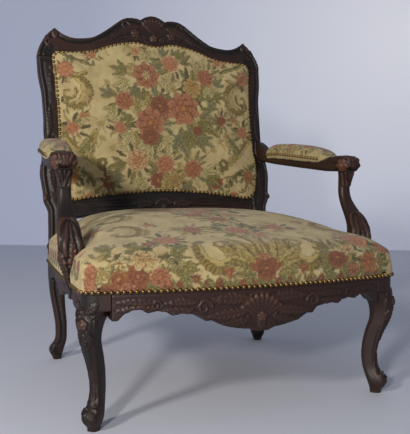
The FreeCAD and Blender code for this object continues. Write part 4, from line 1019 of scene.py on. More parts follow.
class Tapestry:
    """Colours over the flat cloth."""

    def __init__(self, points):
        shift = [1.5 * ripple(points, 17, seed) + 0.7 * ripple(points, 7, seed + 5)
                 for seed in (1, 2)]
        self.points = points + np.stack(shift, 1) * MM
        self.streak = ripple(points * (1.0, 3.0), 9, 8) + 0.6 * ripple(points, 5, 9)
        self.colour = np.tile(np.array(GROUND), (len(points), 1))
        cloud = ripple(points, 75, 3) + 0.5 * ripple(points, 24, 4)
        everywhere = np.ones(len(points))
        self.lay(everywhere, SHADE, 0.26 + 0.22 * cloud)

    def lay(self, edge, colour, share=1.0):
        """Lay a colour inside an outline, over what is there."""
        amount = smoothstep(-0.9 * MM, 0.9 * MM, edge) * np.clip(share, 0, 1)
        self.colour = self.colour * (1 - amount[:, None]) + np.array(colour) * amount[:, None]

    def local(self, spot, reach):
        """A smaller tapestry of the points near a spot, and where they lie."""
        away = self.points - np.array(spot) * MM
        chosen = np.hypot(away[:, 0], away[:, 1]) < reach * MM
        part = Tapestry.__new__(Tapestry)
        part.points = self.points[chosen]
        part.streak = self.streak[chosen]
        part.colour = self.colour[chosen]
        return part, chosen

    def leaf(self, spot, angle, length, width, tone=OLIVE, dark=MOSS, light=SAGE, curl=0.0):
        """A leaf with one lit half, dark ribs on it and a dark outline."""
        part, chosen = self.local(spot, length * 1.3)
        edge, _, across, ribs, lean = leaf_field(
            part.points, spot, angle, length, width, curl, 4, 0.4)
        part.lay(edge + 0.9 * MM, dark, 0.7)
        part.lay(edge, tone)
        lit = (0.7 + 0.3 * part.streak) * (lean > 0) * (across < 0.9)
        part.lay(edge - 0.3 * MM, light, lit + 0.45 * (lean < 0) * (ribs > 0.35))
        part.lay(edge, dark, 0.8 * (across < 0.1) + 0.5 * (lean > 0) * (ribs < -0.5))
        self.colour[chosen] = part.colour

    def spray(self, spot, angle, length, count=3, spread=34, tones=GREEN):
        """Several leaves fanned out from one spot."""
        for index in range(count):
            turn = angle + spread * (index - (count - 1) / 2)
            size = length * (1 - 0.16 * abs(index - (count - 1) / 2))
            self.leaf(spot, turn, size, size * 0.36, *tones, curl=4 * (index % 2) - 2)

    def bush(self, spot, radius, count):
        """Foliage all round a spot, in mixed greens."""
        source = np.random.default_rng(int(abs(spot[0]) * 7 + abs(spot[1])))
        greens = (GREEN, PALE_GREEN, (MOSS, MOSS, OLIVE), (SLATE, MOSS, SAGE), GILT)
        for index in range(count):
            turn = 360 * (index + source.uniform(-0.35, 0.35)) / count
            start = radius * source.uniform(0.35, 0.65)
            away = math.radians(turn)
            foot = (spot[0] + start * math.cos(away), spot[1] + start * math.sin(away))
            size = radius * source.uniform(0.5, 0.85)
            tones = greens[int(source.integers(0, 5))]
            self.leaf(foot, turn + source.uniform(-24, 24), size, size * 0.36, *tones,
                      curl=source.uniform(-5, 5))

    def rose(self, spot, radius, outer=TERRA, inner=RUST, heart=BRICK, light=ROSE, spin=0.0):
        """A full rose in three rings of shaded petals."""
        part, chosen = self.local(spot, radius * 1.3)
        rings = ((1.0, 8, outer, 0), (0.74, 7, inner, 26), (0.5, 6, outer, 50), (0.28, 5, inner, 9))
        for size, petals, tone, turn in rings:
            edge, reach, crest, crease = flower_field(
                part.points, spot, radius * size, petals, spin + turn, 0.22)
            part.lay(edge + 0.9 * MM, heart, 0.8)
            part.lay(edge, tone)
            rim = smoothstep(0.55, 0.95, reach) * (0.62 + 0.35 * part.streak)
            part.lay(edge - 0.4 * MM, light, rim * (crest > 0.42))
            part.lay(edge, heart, 0.8 * (crease < 0.2) + 0.45 * (part.streak < -0.75))
        edge, _, _, _ = flower_field(part.points, spot, radius * 0.14, 5, spin, 0.1)
        part.lay(edge, AMBER)
        self.colour[chosen] = part.colour

    def daisy(self, spot, radius, tone=RUST, light=TERRA, heart=AMBER, petals=9, spin=0.0):
        """A flower of narrow petals."""
        part, chosen = self.local(spot, radius * 1.3)
        edge, reach, crest, _ = flower_field(part.points, spot, radius, petals, spin, 0.45)
        part.lay(edge + 0.9 * MM, BRICK, 0.7)
        part.lay(edge, tone)
        part.lay(edge, light, (0.6 + 0.3 * part.streak) * (crest > 0.66) * (reach > 0.25))
        part.lay(edge, BRICK, 0.7 * (crest < 0.25) * (reach > 0.3))
        edge, _, _, _ = flower_field(part.points, spot, radius * 0.3, 6, spin, 0.1)
        part.lay(edge, heart)
        self.colour[chosen] = part.colour

    def band(self, path, first, last, tone=GOLD, line=BROWN, light=STRAW, swell=0.0, hatch=0):
        """A scroll or stem with a light side, and hatching on its other side if hatch is 1 or -1."""
        edge, share, across = band_field(self.points, path, first, last, swell)
        self.lay(edge + 1.4 * MM, line, 0.9)
        self.lay(edge, tone)
        if hatch:
            wave = np.cos(share * 150)
            inner = across * hatch
            self.lay(edge - 0.6 * MM, light, 0.85 * smoothstep(0.12, 0.4, inner))
            self.lay(edge, line, 0.75 * (wave > 0.1) * smoothstep(0.0, 0.25, -inner))
            self.lay(edge, line, 0.8 * np.exp(-(across / 0.1) ** 2))

    def scroll(self, centre, start, finish, angle, sweep, first, last, tone=GOLD):
        """A spiral scroll."""
        self.band(spiral_path(centre, start, finish, angle, sweep), first, last, tone)

    def plume(self, path, first, last, side, tones):
        """An acanthus plume: a hatched band with short leaves all along its outer side."""
        path = np.array(path, float)
        for index in range(len(path) - 1):
            step = path[index + 1] - path[index]
            turn = math.degrees(math.atan2(step[1], step[0]))
            size = (first + (last - first) * index / len(path)) * 3.6
            self.leaf(tuple(path[index]), turn + side * 42, size, size * 0.5, *tones)
        self.band(path, first, last, *tones, hatch=-side)

    def crescent(self, centre, radius, angle, sweep, thick, stretch=1.0):
        """A C scroll that is thick in the middle, leafy outside, and curled at both ends."""
        way = 1 if sweep > 0 else -1
        path = spiral_path((0, 0), radius, radius * 0.8, angle, sweep)
        path[:, 1] *= stretch
        path = path + np.array(centre)
        for index in range(2, len(path) - 3, 2):
            step = path[index + 1] - path[index]
            turn = math.degrees(math.atan2(step[1], step[0]))
            bulge = math.sin(math.pi * index / len(path))
            spot = path[index] + np.array((step[1], -step[0])) * way * 0.2 * thick / 10
            self.leaf(tuple(spot), turn - way * 50, 10 + thick * bulge, 11, *GILT)
        self.band(path, 3, 4, *GILT, thick * 0.9, way)
        end = spiral_path(path[-1] + (0, radius * 0.22), radius * 0.24, 3, -90, way * 330)
        self.band(end, 3.4, 2, *GILT, 0, way)
        start = spiral_path(path[0] - (0, radius * 0.18), radius * 0.2, 3, 90, -way * 330)
        self.band(start, 3, 2, *GILT, 0, way)

    def sprig(self, spot, angle, size):
        """A faint little twig that fills the ground."""
        away = math.radians(angle)
        tip = (spot[0] + size * math.cos(away), spot[1] + size * math.sin(away))
        self.band([spot, tip], 0.9, 0.54, SHADE, SHADE)
        for turn in (70, -70, 35, -35, 0):
            self.leaf(tip, angle + turn, size * 0.6, size * 0.24, SHADE, SHADE, GOLD)


def paint(mesh, tapestry, flat):
    """Store a tapestry's colours and the flat cloth's own coordinates on a mesh."""
    layer = mesh.attributes.new("weave_colour", "FLOAT_COLOR", "POINT")
    rgba = np.ones((len(flat), 4), np.float32)
    rgba[:, :3] = np.clip(tapestry.colour, 0, 1)
    layer.data.foreach_set("color", rgba.ravel())
    uv = mesh.uv_layers.new(name="cloth")
    corners = np.empty(len(mesh.loops), np.int32)
    mesh.loops.foreach_get("vertex_index", corners)
    uv.data.foreach_set("uv", flat[corners].astype(np.float32).ravel())


# %% [markdown]
# ## Tapestry finish
# The weave is a plain rib: weft threads about a millimetre apart, crossed by finer warp. Both come
# from the cloth's own coordinates, so they follow the cushion, and tiny changes of tone from
# thread to thread keep the colours from looking printed. Painted shade darkens the cells between the
# threads.


# %% Tapestry finish
THREAD_GAP_SHADE = tint(60, 48, 32)
FLUFF = tint(206, 190, 150)
FADED = tint(110, 86, 52)


def woven_finish(name, thread, colour=None):
    """Woven cloth of a thread width, in the stored colours or in one colour."""
    finish = Finish(name)
    cloth = finish.node("ShaderNodeUVMap", {"uv_map": "cloth"})
    columns = finish.node("ShaderNodeSeparateXYZ", inputs={0: cloth}, output=0)
    rows = finish.node("ShaderNodeSeparateXYZ", inputs={0: cloth}, output=1)
    turns = 2 * math.pi / thread
    weft = finish.node("ShaderNodeMath", {"operation": "SINE"}, {0: rows * turns})
    warp = finish.node("ShaderNodeMath", {"operation": "SINE"}, {0: columns * (turns * 0.8)})
    speck = finish.noise(cloth, 620.0, 2.0, 0.7)
    drift = finish.noise(cloth, 38.0, 3.0, 0.6)
    stored = finish.attribute("weave_colour", "Color") if colour is None else solid(colour)
    threads = finish.clamped(weft * warp * 0.22 + 0.22, 1.0)
    # painted shade: the cells between the threads darken toward a dark brown
    toned = finish.mix(threads * 0.7, stored, solid(THREAD_GAP_SHADE))
    toned = finish.mix(speck * 0.10, toned, solid(FLUFF))
    toned = finish.mix(drift * 0.14, toned, solid(FADED))
    height = weft * warp * 0.5 + speck * 0.6
    normal = finish.bump(height, 0.45, 0.0007)
    return finish.set(Base_Color=toned, Roughness=0.92, Normal=normal,
                      Sheen_Weight=0.12, Sheen_Roughness=0.5, Specular_IOR_Level=0.25)


tapestry_finish = woven_finish("tapestry_weave", 0.0013)

# %% [markdown]
# ## Padded forms
# A cushion's cover is drawn tight over the stuffing and swells between its nails. The plain form is
# remeshed, filled with a little pressure as cloth, and its nailed hem is held still. The push of
# each point has a cap, so that a cushion keeps to its place between the wood.


# %% Padding
SIMULATION_FRAMES = 20
THREAD_STIFFNESS = 12
BENDING_STIFFNESS = 2.0
SWELL_CAP = 5 * MM


def swelled(piece, held, pressure, cap):
    """Let a cover swell as cloth, with the held points pinned and each push capped."""
    before, _ = read_points(piece.data)
    group = piece.vertex_groups.new(name="held")
    for index in np.flatnonzero(held):
        group.add([int(index)], 1.0, "REPLACE")
    cloth = piece.modifiers.new("cloth", "CLOTH")
    cloth.settings.quality = 4
    cloth.settings.use_pressure = True
    cloth.settings.uniform_pressure_force = pressure
    cloth.settings.effector_weights.gravity = 0
    cloth.settings.tension_stiffness = THREAD_STIFFNESS
    cloth.settings.compression_stiffness = THREAD_STIFFNESS
    cloth.settings.bending_stiffness = BENDING_STIFFNESS
    cloth.settings.vertex_group_mass = "held"
    cloth.point_cache.frame_start = 1
    cloth.point_cache.frame_end = SIMULATION_FRAMES
    for moment in range(1, SIMULATION_FRAMES + 1):
        scene.frame_set(moment)
    graph = bpy.context.evaluated_depsgraph_get()
    mesh = piece.evaluated_get(graph).to_mesh()
    after, _ = read_points(mesh)
    piece.evaluated_get(graph).to_mesh_clear()
    piece.modifiers.clear()
    piece.vertex_groups.clear()
    push = after - before
    length = np.linalg.norm(push, axis=1)
    limit = np.minimum(1.0, cap / np.maximum(length, 1e-9))
    write_points(piece.data, before + push * limit[:, None])
    scene.frame_set(1)
    print(piece.name, "swelled by up to", round(float(length.max()) / MM, 1), "mm")


def finish_cushion(piece, flat, painter):
    """Paint a cushion's cover in its flat pattern."""
    work = Tapestry(flat)
    painter(work)
    paint(piece.data, work, flat)
    piece.data.materials.append(tapestry_finish)


def declare_cushion(piece, nodes):
    """Put a cushion on the root body, hide the imported nodes it replaces, and print its point count.
    """
    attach(piece, "root")
    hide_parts(*nodes)
    print(piece.name, len(piece.data.vertices), "points")


# %% [markdown]
# ## The pattern of the seat
# The seat is one cloth over a deep crown, drawn down to the rails and nailed. Its flat pattern runs
# on down the walls: a point on a wall looks up the colour that many millimetres further out. The
# motifs stand where the photograph shows them, in millimetres from the middle of the chair; the
# later ones lie over the earlier ones.


# %% Seat pattern
SEAT_MIDDLE = 12
WALL_REACH = 0.1


def seat_flat(points, normals):
    """Flat cloth coordinates of points on the seat."""
    level = normals[:, :2]
    length = np.linalg.norm(level, axis=1)
    away = level / np.maximum(length, 1e-6)[:, None]
    drop = np.clip(SHOULDER - points[:, 2], 0, WALL_REACH)
    wall = smoothstep(0.5, 0.85, length)
    return points[:, :2] + away * (drop * wall)[:, None]


def mirrored(sign, middle=0):
    """Place and direction helpers for one half of a pattern that is drawn once."""
    def at(x, y):
        return (middle + sign * x, y)

    def way(angle):
        return angle if sign > 0 else 180 - angle
    return at, way


def paint_seat_frame(work):
    """Scrolls and leaves that are the same in both halves of the seat."""
    for sign in (1, -1):
        at, way = mirrored(sign, SEAT_MIDDLE)
        work.crescent(at(104, -368), 40, way(52), -sign * 262, 15, 1.45)
        work.band(spiral_path(at(88, -352), 20, 5, way(180), -sign * 330), 5, 2.5, *GILT, 0, -sign)
        work.leaf(at(20, -424), way(78), 118, 50, *GILT, sign * -18)
        work.leaf(at(26, -428), way(52), 98, 42, *GILT, sign * -16)
        work.leaf(at(30, -436), way(26), 74, 32, OLIVE, MOSS, STRAW, sign * -8)
        work.leaf(at(26, -446), way(4), 52, 24, *GREEN, sign * 4)
        work.band([at(8, -392), at(9, -340), at(20, -290), at(48, -236)], 6, 5, *GILT, 2, sign)
        work.leaf(at(46, -240), way(100), 60, 30, *GREEN)
        work.leaf(at(52, -244), way(48), 56, 26, *GILT)
        for x, y, angle in ((150, -424, 40), (158, -350, 60), (150, -300, 100), (60, -300, 20),
                            (110, -270, 160), (170, -250, 60), (70, -446, 10)):
            work.sprig(at(x, y), way(angle), 20)
        for y in range(-300, 260, 44):
            work.spray(at(436, y), way(165), 44, 3, 44)
            work.spray(at(420, y + 20), way(110), 34, 3, 44, GILT)
            work.rose(at(404, y), 15, *DARK_ROSE, spin=y)
            work.daisy(at(374, y + 22), 11, TERRA, ROSE)
        for y in (-210, -70, 70, 200):
            work.crescent(at(266, y), 38, way(60), sign * 250, 12, 1.1)
            work.leaf(at(228, y - 44), way(110), 60, 26, *GILT)
            work.bush(at(322, y + 66), 30, 10)
            work.rose(at(322, y + 66), 20, *RED_ROSE)
            work.bush(at(196, y + 40), 22, 7)
            work.daisy(at(196, y + 40), 13, TERRA, ROSE)
            work.sprig(at(170, y - 20), way(160), 24)
            work.sprig(at(230, y + 74), way(80), 22)


FRONT_BUSHES = (
    ((-338, -366), 46, 14), ((-262, -392), 66, 22), ((-300, -340), 44, 14),
    ((-212, -352), 46, 14), ((-196, -424), 44, 14), ((-182, -296), 46, 14),
    ((196, -396), 52, 18), ((250, -372), 60, 20), ((300, -400), 54, 18),
    ((326, -350), 48, 14), ((274, -318), 50, 16), ((232, -432), 40, 12),
    ((-300, -428), 44, 12), ((10, -246), 60, 18), ((44, -292), 36, 10),
)
FRONT_SPRAYS = (
    ((-330, -330), 60, 44), ((-262, -340), 75, 48), ((-190, -372), 30, 50),
    ((-190, -420), 0, 50), ((178, -370), 140, 48), ((180, -418), 190, 44),
    ((262, -350), 100, 48), ((322, -398), 0, 44),
)


def paint_seat_front(work):
    """Foliage and flowers along the front edge, which differ from left to right."""
    for spot, radius, count in FRONT_BUSHES:
        work.bush(spot, radius, count)
    for x in range(-336, 350, 28):
        low = 30 * (x / 300) ** 2 - 472
        work.spray((x, low), 90 + 30 * math.sin(x), 34, 3, 44)
        if x % 3:
            work.rose((x + 12, low + 10), 11 + 3 * math.sin(x / 9), *DARK_ROSE)
    for x in range(-300, 310, 40):
        work.spray((x, 330), -90 + 30 * math.sin(x), 44, 3, 44)
        work.rose((x + 14, 322), 15, *RED_ROSE, spin=x)
    for spot, angle, length in FRONT_SPRAYS:
        work.spray(spot, angle, length, 3, 40)
    for angle in (150, 120, 90, 60, 30):
        work.leaf((10, -440), angle, 46, 22, RUST, BRICK, TERRA)
    work.rose((10, -430), 30, *DARK_ROSE)
    work.daisy((10, -394), 16, RUST, ROSE, AMBER, 7)
    work.daisy((-77, -434), 12, RUST, TERRA)
    work.daisy((103, -428), 13, RUST, TERRA)
    work.daisy((-150, -440), 12, BRICK, TERRA)
    work.rose((-272, -414), 30, *DARK_ROSE, 20)
    work.rose((-226, -424), 23, *RED_ROSE, 40)
    work.rose((-250, -374), 33, GOLD, AMBER, BROWN, CREAM)
    work.bush((-350, -430), 46, 14)
    work.rose((-384, -388), 37, *RED_ROSE, 10)
    work.rose((-340, -440), 24, *DARK_ROSE)
    work.rose((-296, -446), 22, *RED_ROSE)
    work.rose((-312, -412), 20, RUST, BRICK, BRICK, AMBER, 30)
    work.daisy((-302, -372), 19, GOLD, CREAM, RUST, 8)
    work.daisy((-189, -394), 16, SLATE, SAGE, MOSS, 6)
    work.rose((-182, -300), 29, TERRA, ROSE, RUST, ROSE, 30)
    work.daisy((-226, -318), 14, RUST, TERRA)
    work.rose((196, -400), 29, *DARK_ROSE)
    work.rose((292, -404), 28, TERRA, RUST, BRICK, AMBER, 24)
    work.rose((274, -322), 33, *PALE_ROSE, 12)
    work.rose((244, -426), 19, BRICK, TERRA, BRICK, ROSE)
    work.rose((338, -352), 24, *RED_ROSE)
    work.daisy((232, -366), 17, AMBER, CREAM, RUST)
    work.rose((10, -246), 31, TERRA, ROSE, RUST, ROSE)
    work.rose((46, -290), 24, *AMBER_ROSE, 30)
    work.bush((118, -220), 44, 12)
    work.bush((-96, -224), 44, 12)
    work.rose((118, -222), 26, *PALE_ROSE, 30)
    work.rose((-96, -226), 26, *RED_ROSE, 30)


BOUQUET = (
    (-60, 92, 40, RED_ROSE), (52, 104, 38, PALE_ROSE), (-8, 42, 46, AMBER_ROSE),
    (-78, 6, 32, PALE_ROSE), (74, 16, 36, RED_ROSE), (0, -30, 34, PALE_ROSE),
    (6, 128, 28, AMBER_ROSE), (-122, 60, 24, RED_ROSE), (128, 66, 24, PALE_ROSE),
    (-44, -84, 24, RED_ROSE), (56, -92, 24, AMBER_ROSE), (-100, 140, 24, PALE_ROSE),
    (104, 150, 22, RED_ROSE), (6, -140, 26, RED_ROSE), (0, 190, 26, PALE_ROSE),
    (-60, 220, 20, RED_ROSE), (70, 226, 20, AMBER_ROSE),
)


def paint_seat(work):
    """Scrolls and bouquets along the front, a bouquet in the middle and scrolls down the sides."""
    paint_seat_frame(work)
    paint_seat_front(work)
    for x, y, radius, _ in BOUQUET:
        work.bush((x, y), radius * 1.9, 12)
    for x, y, radius, tones in BOUQUET:
        work.rose((x, y), radius, *tones, spin=x + y)


# %% [markdown]
# ## Seat cover
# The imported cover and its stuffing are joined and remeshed. The cover alone is thinner than the
# remesh can hold, so copies drawn in step by step back it, and a solid core fills the middle. The
# cover swells, its hidden underside is cut away, and what is left becomes a cloth 1.6 mm thick.


# %% Seat cover
SEAT_LOW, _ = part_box("seat_cover")
SEAT_HEM_TOP = SEAT_LOW.z + 14 * MM
SEAT_UNDERSIDE = 0.31
SEAT_CENTRE = Vector((0, -0.05, 0))
DRAW_IN = 0.009
CORE_STEP = 7.6
CLOTH_THICKNESS = 1.6 * MM


def drawn_in(step):
    """The matrix that shrinks the seat's outline by some steps, about its centre."""
    size = 1 - DRAW_IN * step
    shrink = Matrix.Diagonal((size, size, 1, 1))
    return Matrix.Translation(SEAT_CENTRE) @ shrink @ Matrix.Translation(-SEAT_CENTRE)


def cut_underside(piece):
    """Take away the faces that look down behind the seat's nailed hem."""
    shape = bmesh.new()
    shape.from_mesh(piece.data)
    under = [face for face in shape.faces
             if face.normal.z < -0.35 and face.calc_center_median().z < SEAT_UNDERSIDE]
    bmesh.ops.delete(shape, geom=under, context="FACES")
    loose = [edge for edge in shape.edges if not edge.link_faces]
    bmesh.ops.delete(shape, geom=loose, context="EDGES")
    shape.to_mesh(piece.data)
    shape.free()


def build_seat_cover():
    """Seat cover as one thin shell over the crown, with its nailed hem."""
    nodes = ["seat_cover", "seat_stuffing"]
    backing = [drawn_in(step) for step in range(1, 9)]
    piece = clay_copy("seat_tapestry", nodes, 5.2 * MM, 4, backing, drawn_in(CORE_STEP))
    points, _ = read_points(piece.data)
    swelled(piece, points[:, 2] < SEAT_HEM_TOP, 3.0, SWELL_CAP)
    cut_underside(piece)
    with_modifier(piece, "SUBSURF", levels=1, render_levels=1)
    points, normals = read_points(piece.data)
    finish_cushion(piece, seat_flat(points, normals), paint_seat)
    with_modifier(piece, "SOLIDIFY", thickness=CLOTH_THICKNESS, offset=-1)
    declare_cushion(piece, nodes)


build_seat_cover()

# %% [markdown]
# ## The pattern of the back
# The inside back is a bouquet framed by C scrolls, plumes and sprigs. The frame is the same in both
# halves, and the bouquet is not. Places are millimetres from the middle and above the floor.


# %% Back pattern
def paint_back_frame(work):
    """Scrolls, plumes, sprigs and small flowers of both halves."""
    for sign in (1, -1):
        at, way = mirrored(sign)
        work.crescent(at(264, 768), 46, way(70), sign * 230, 13)
        work.band(spiral_path(at(274, 766), 22, 6, way(150), sign * 320), 4, 2, *GILT, 0, sign)
        work.plume([at(302, 836), at(276, 822), at(248, 816), at(222, 826)], 6, 4, sign, GILT)
        work.plume([at(300, 896), at(270, 872), at(236, 862), at(204, 850)], 5, 3, -sign, GREEN)
        work.leaf(at(214, 868), way(60), 44, 20, TERRA, RUST, CREAM)
        work.plume([at(300, 652), at(276, 622), at(246, 590), at(212, 562), at(184, 548)],
                   8, 5, -sign, GILT)
        work.leaf(at(234, 574), way(104), 96, 38, *GILT, sign * 12)
        work.leaf(at(222, 566), way(80), 80, 32, OLIVE, MOSS, CREAM, sign * 8)
        work.leaf(at(208, 560), way(56), 50, 22, *GILT)
        work.leaf(at(252, 592), way(128), 66, 26, *GREEN)
        work.scroll(at(186, 562), 18, 5, way(-90), sign * 340, 5, 2.5, OLIVE)
        work.plume([at(300, 560), at(276, 548), at(246, 540), at(222, 524), at(214, 500)],
                   6, 4, sign, GREEN)
        for x, y, angle in ((196, 646, 100), (162, 610, 150), (214, 720, 60), (186, 780, 140),
                            (200, 690, 20), (150, 884, 60), (240, 640, 80), (130, 590, 30),
                            (226, 740, 100), (176, 650, 70), (100, 896, 100), (200, 606, 120)):
            work.sprig(at(x, y), way(angle), 26)
        for x, y, radius, count in ((268, 662, 38, 12), (284, 832, 36, 12), (200, 880, 28, 9),
                                    (172, 508, 40, 12), (276, 524, 36, 12), (236, 700, 20, 7),
                                    (290, 728, 26, 8), (232, 488, 34, 9)):
            work.bush(at(x, y), radius, count)
        work.daisy(at(268, 662), 21, TERRA, ROSE, AMBER, 8)
        work.rose(at(282, 834), 24, TERRA, ROSE, RUST, ROSE, 15)
        work.daisy(at(200, 884), 14, TERRA, ROSE)
        work.daisy(at(236, 702), 10, TERRA, ROSE)
        work.rose(at(168, 506), 22, RUST, BRICK, PLUM, TERRA, 30)
        work.rose(at(276, 524), 22, AMBER, RUST, RUST, GOLD, 8)
        work.daisy(at(228, 468), 12, TERRA, ROSE)


BACK_ROSES = (
    (-42, 828, 42, *RED_ROSE), (150, 831, 29, *RED_ROSE),
    (39, 870, 27, *PALE_ROSE), (102, 796, 31, *STRAW_ROSE),
    (-114, 747, 29, *RED_ROSE), (-4, 736, 33, *DARK_ROSE),
    (70, 730, 52, *RED_ROSE), (-38, 684, 46, *RED_ROSE),
    (-42, 642, 28, *DARK_ROSE), (-132, 666, 19, *PALE_ROSE),
    (192, 696, 16, *DARK_ROSE), (111, 664, 15, *DARK_ROSE),
    (-84, 572, 34, TERRA, AMBER, RUST, CREAM), (3, 560, 30, *PALE_ROSE),
    (90, 546, 29, *RED_ROSE), (36, 514, 22, *STRAW_ROSE),
    (-20, 512, 24, RUST, BRICK, PLUM, TERRA), (-66, 904, 17, *AMBER_ROSE),
)
BACK_SPRAYS = (
    ((-100, 834), 160, 58), ((-96, 806), 196, 60), ((-64, 784), 214, 46),
    ((-60, 750), 100, 40), ((-140, 726), 225, 54), ((-150, 760), 150, 44),
    ((-92, 700), 200, 44), ((-94, 652), 236, 48), ((120, 706), -4, 66),
    ((118, 694), -38, 84), ((146, 800), -60, 46), ((178, 806), 40, 42),
    ((172, 776), -16, 42), ((26, 780), 96, 50), ((4, 850), 120, 46),
    ((76, 872), 40, 46), ((-30, 872), 110, 48), ((20, 892), 84, 40),
    ((60, 890), 30, 44), ((120, 850), 60, 44), ((150, 742), 20, 46),
    ((0, 646), -124, 70), ((20, 646), -96, 82), ((46, 652), -68, 84),
    ((70, 660), -42, 78), ((-40, 622), -120, 58), ((110, 640), -28, 60),
    ((-120, 560), 190, 60), ((124, 540), -6, 64), ((-130, 526), 200, 56),
    ((134, 520), -30, 56), ((-60, 520), 236, 54), ((60, 500), -50, 54),
)


def paint_back(work):
    """Scroll frame, sprigs and the bouquet of the inside back."""
    paint_back_frame(work)
    for x, y, radius, *_ in BACK_ROSES:
        work.bush((x, y), max(radius * 1.75, 34), 13)
    for index, (spot, angle, length) in enumerate(BACK_SPRAYS):
        tones = (GREEN, PALE_GREEN, (SLATE, MOSS, SAGE))[index % 3]
        work.spray(spot, angle, length, 3, 34, tones)
    for x, y, radius, *tones in BACK_ROSES:
        work.rose((x, y), radius, *tones, spin=x)
    work.daisy((-42, 828), 13, GOLD, CREAM, AMBER, 7)
    work.daisy((78, 704), 17, TERRA, ROSE, AMBER, 7)
    work.daisy((12, 706), 13, PLUM, ROSE, AMBER, 7)
    work.daisy((158, 757), 12, SLATE, SAGE, MOSS, 6)
    work.leaf((6, 470), 90, 66, 46, *GILT)


# %% [markdown]
# ## Back cover
# The cloth is nailed on a flat hem all round and swells inside it. What lies less than the hem's
# depth in front of the frame is held still.


# %% Back cover
BACK_FOOT = np.array((0, 0.261, 0.45))
BACK_HEM_DEPTH = 9 * MM


def build_back_cover():
    """Inside back cushion."""
    nodes = ["back_cover", "back_stuffing"]
    behind = [Matrix.Translation(Vector(-BACK_NORMAL) * step * MM) for step in (2, 4, 6)]
    piece = clay_copy("back_tapestry", nodes, 4.6 * MM, 3, behind)
    points, _ = read_points(piece.data)
    depth = (points - BACK_FOOT) @ BACK_NORMAL
    swelled(piece, depth < BACK_HEM_DEPTH, 3.0, SWELL_CAP)
    with_modifier(piece, "SUBSURF", levels=1, render_levels=1)
    points, _ = read_points(piece.data)
    finish_cushion(piece, points[:, [0, 2]], paint_back)
    declare_cushion(piece, nodes)


build_back_cover()

# %% [markdown]
# ## Arm pads
# Each arm has a small pad like a bolster, with a swirl on its front end and roses along the top.
# The flat pattern follows the arm and runs on down the sides. The arm's middle line stands 371 mm
# from the middle of the chair in front and 333 mm at the rear, 459 mm further back.


# %% Arm pads
PAD_HEM = 0.566
PAD_HEM_RISE = 0.030
PAD_CAP = 3 * MM
ARM_SPLAY = (333 - 371) / 459
PAD_ROLL = 12 * MM


def paint_pad(work):
    """Swirl at the front, flowers and leaves behind it."""
    work.lay(np.ones(len(work.points)), OLIVE, 0.3)
    work.scroll((0, -74), 27, 6, 200, 400, 6, 3, SLATE)
    work.daisy((2, -74), 9, TERRA, ROSE)
    for index, y in enumerate(range(-36, 250, 40)):
        work.bush((22 * (-1) ** index, y), 34, 11)
        work.bush((-22 * (-1) ** index, y + 18), 26, 8)
    for index, y in enumerate(range(-36, 250, 40)):
        work.rose((12 * (-1) ** index, y), 20, *RED_ROSE, 25 * index)
        work.scroll((-36 * (-1) ** index, y + 12), 14, 4, 160, 300, 4, 2)


def build_arm_pad(side):
    """Pad of one arm."""
    nodes = [f"{side}_arm_pad_cover", f"{side}_arm_pad_stuffing"]
    piece = clay_copy(f"{side}_arm_pad_tapestry", nodes, 3.6 * MM, 3)
    points, _ = read_points(piece.data)
    low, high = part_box(f"{side}_arm_pad_nails")
    rise = (points[:, 1] - low.y) / (high.y - low.y) * PAD_HEM_RISE
    swelled(piece, points[:, 2] < PAD_HEM + rise, 2.0, PAD_CAP)
    with_modifier(piece, "SUBSURF", levels=1, render_levels=1)
    points, normals = read_points(piece.data)
    low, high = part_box(nodes[0])
    middle = (low.x + high.x) / 2
    axis = middle + np.sign(middle) * ARM_SPLAY * (points[:, 1] - (low.y + high.y) / 2)
    drop = np.clip(high.z - PAD_ROLL - points[:, 2], 0, WALL_REACH)
    flat = np.stack([points[:, 0] - axis + drop * normals[:, 0],
                     points[:, 1] - drop * np.clip(-normals[:, 1], 0, 1)], 1)
    finish_cushion(piece, flat, paint_pad)
    declare_cushion(piece, nodes)


for side in ("right", "left"):
    build_arm_pad(side)

# %% [markdown]
# ## Cloth behind and under the chair
# The outside of the back is plain linen, stretched and nailed, with a slight dome. Under the seat
# flat hessian shows between the webbing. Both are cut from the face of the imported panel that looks
# outward, on an even grid.


# %% Stretched cloth
DOME_REACH = 0.05
HESSIAN_THREAD = 0.0026
HESSIAN_TINT = tint(150, 122, 80)


def stretched(node, name, facing, step, swell, thickness):
    """A stretched sheet from the face of a packed panel, cut into a grid and gently domed."""
    shape = bmesh.new()
    shape.from_mesh(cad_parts[node].data)
    bmesh.ops.remove_doubles(shape, verts=shape.verts, dist=1e-6)
    shape.normal_update()
    facing = Vector(facing)
    others = [face for face in shape.faces if face.normal.dot(facing) < 0.9]
    bmesh.ops.delete(shape, geom=others, context="FACES")
    area = sum(face.calc_area() for face in shape.faces)
    low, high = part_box(node)
    level = abs(facing.z) > 0.5
    for axis in (0, 1 if level else 2):
        normal = Vector((0, 0, 0))
        normal[axis] = 1
        for cut in np.arange(low[axis] + step, high[axis], step):
            everything = shape.verts[:] + shape.edges[:] + shape.faces[:]
            bmesh.ops.bisect_plane(shape, geom=everything, plane_co=normal * cut, plane_no=normal)
    for face in shape.faces:
        face.smooth = True
    rim = [vert.index for vert in shape.verts if vert.is_boundary]
    piece = new_piece(name, shape)
    points, _ = read_points(piece.data)
    away = np.linalg.norm(points[:, None] - points[rim][None], axis=2).min(1)
    lift = swell * (1 - np.exp(-away / DOME_REACH))
    write_points(piece.data, points + np.array(facing) * lift[:, None])
    flat = points[:, [0, 1]] if level else points[:, [0, 2]]
    paint(piece.data, Tapestry(flat), flat)
    with_modifier(piece, "SOLIDIFY", thickness=thickness, offset=-1)
    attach(piece, "root")
    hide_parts(node)
    return piece


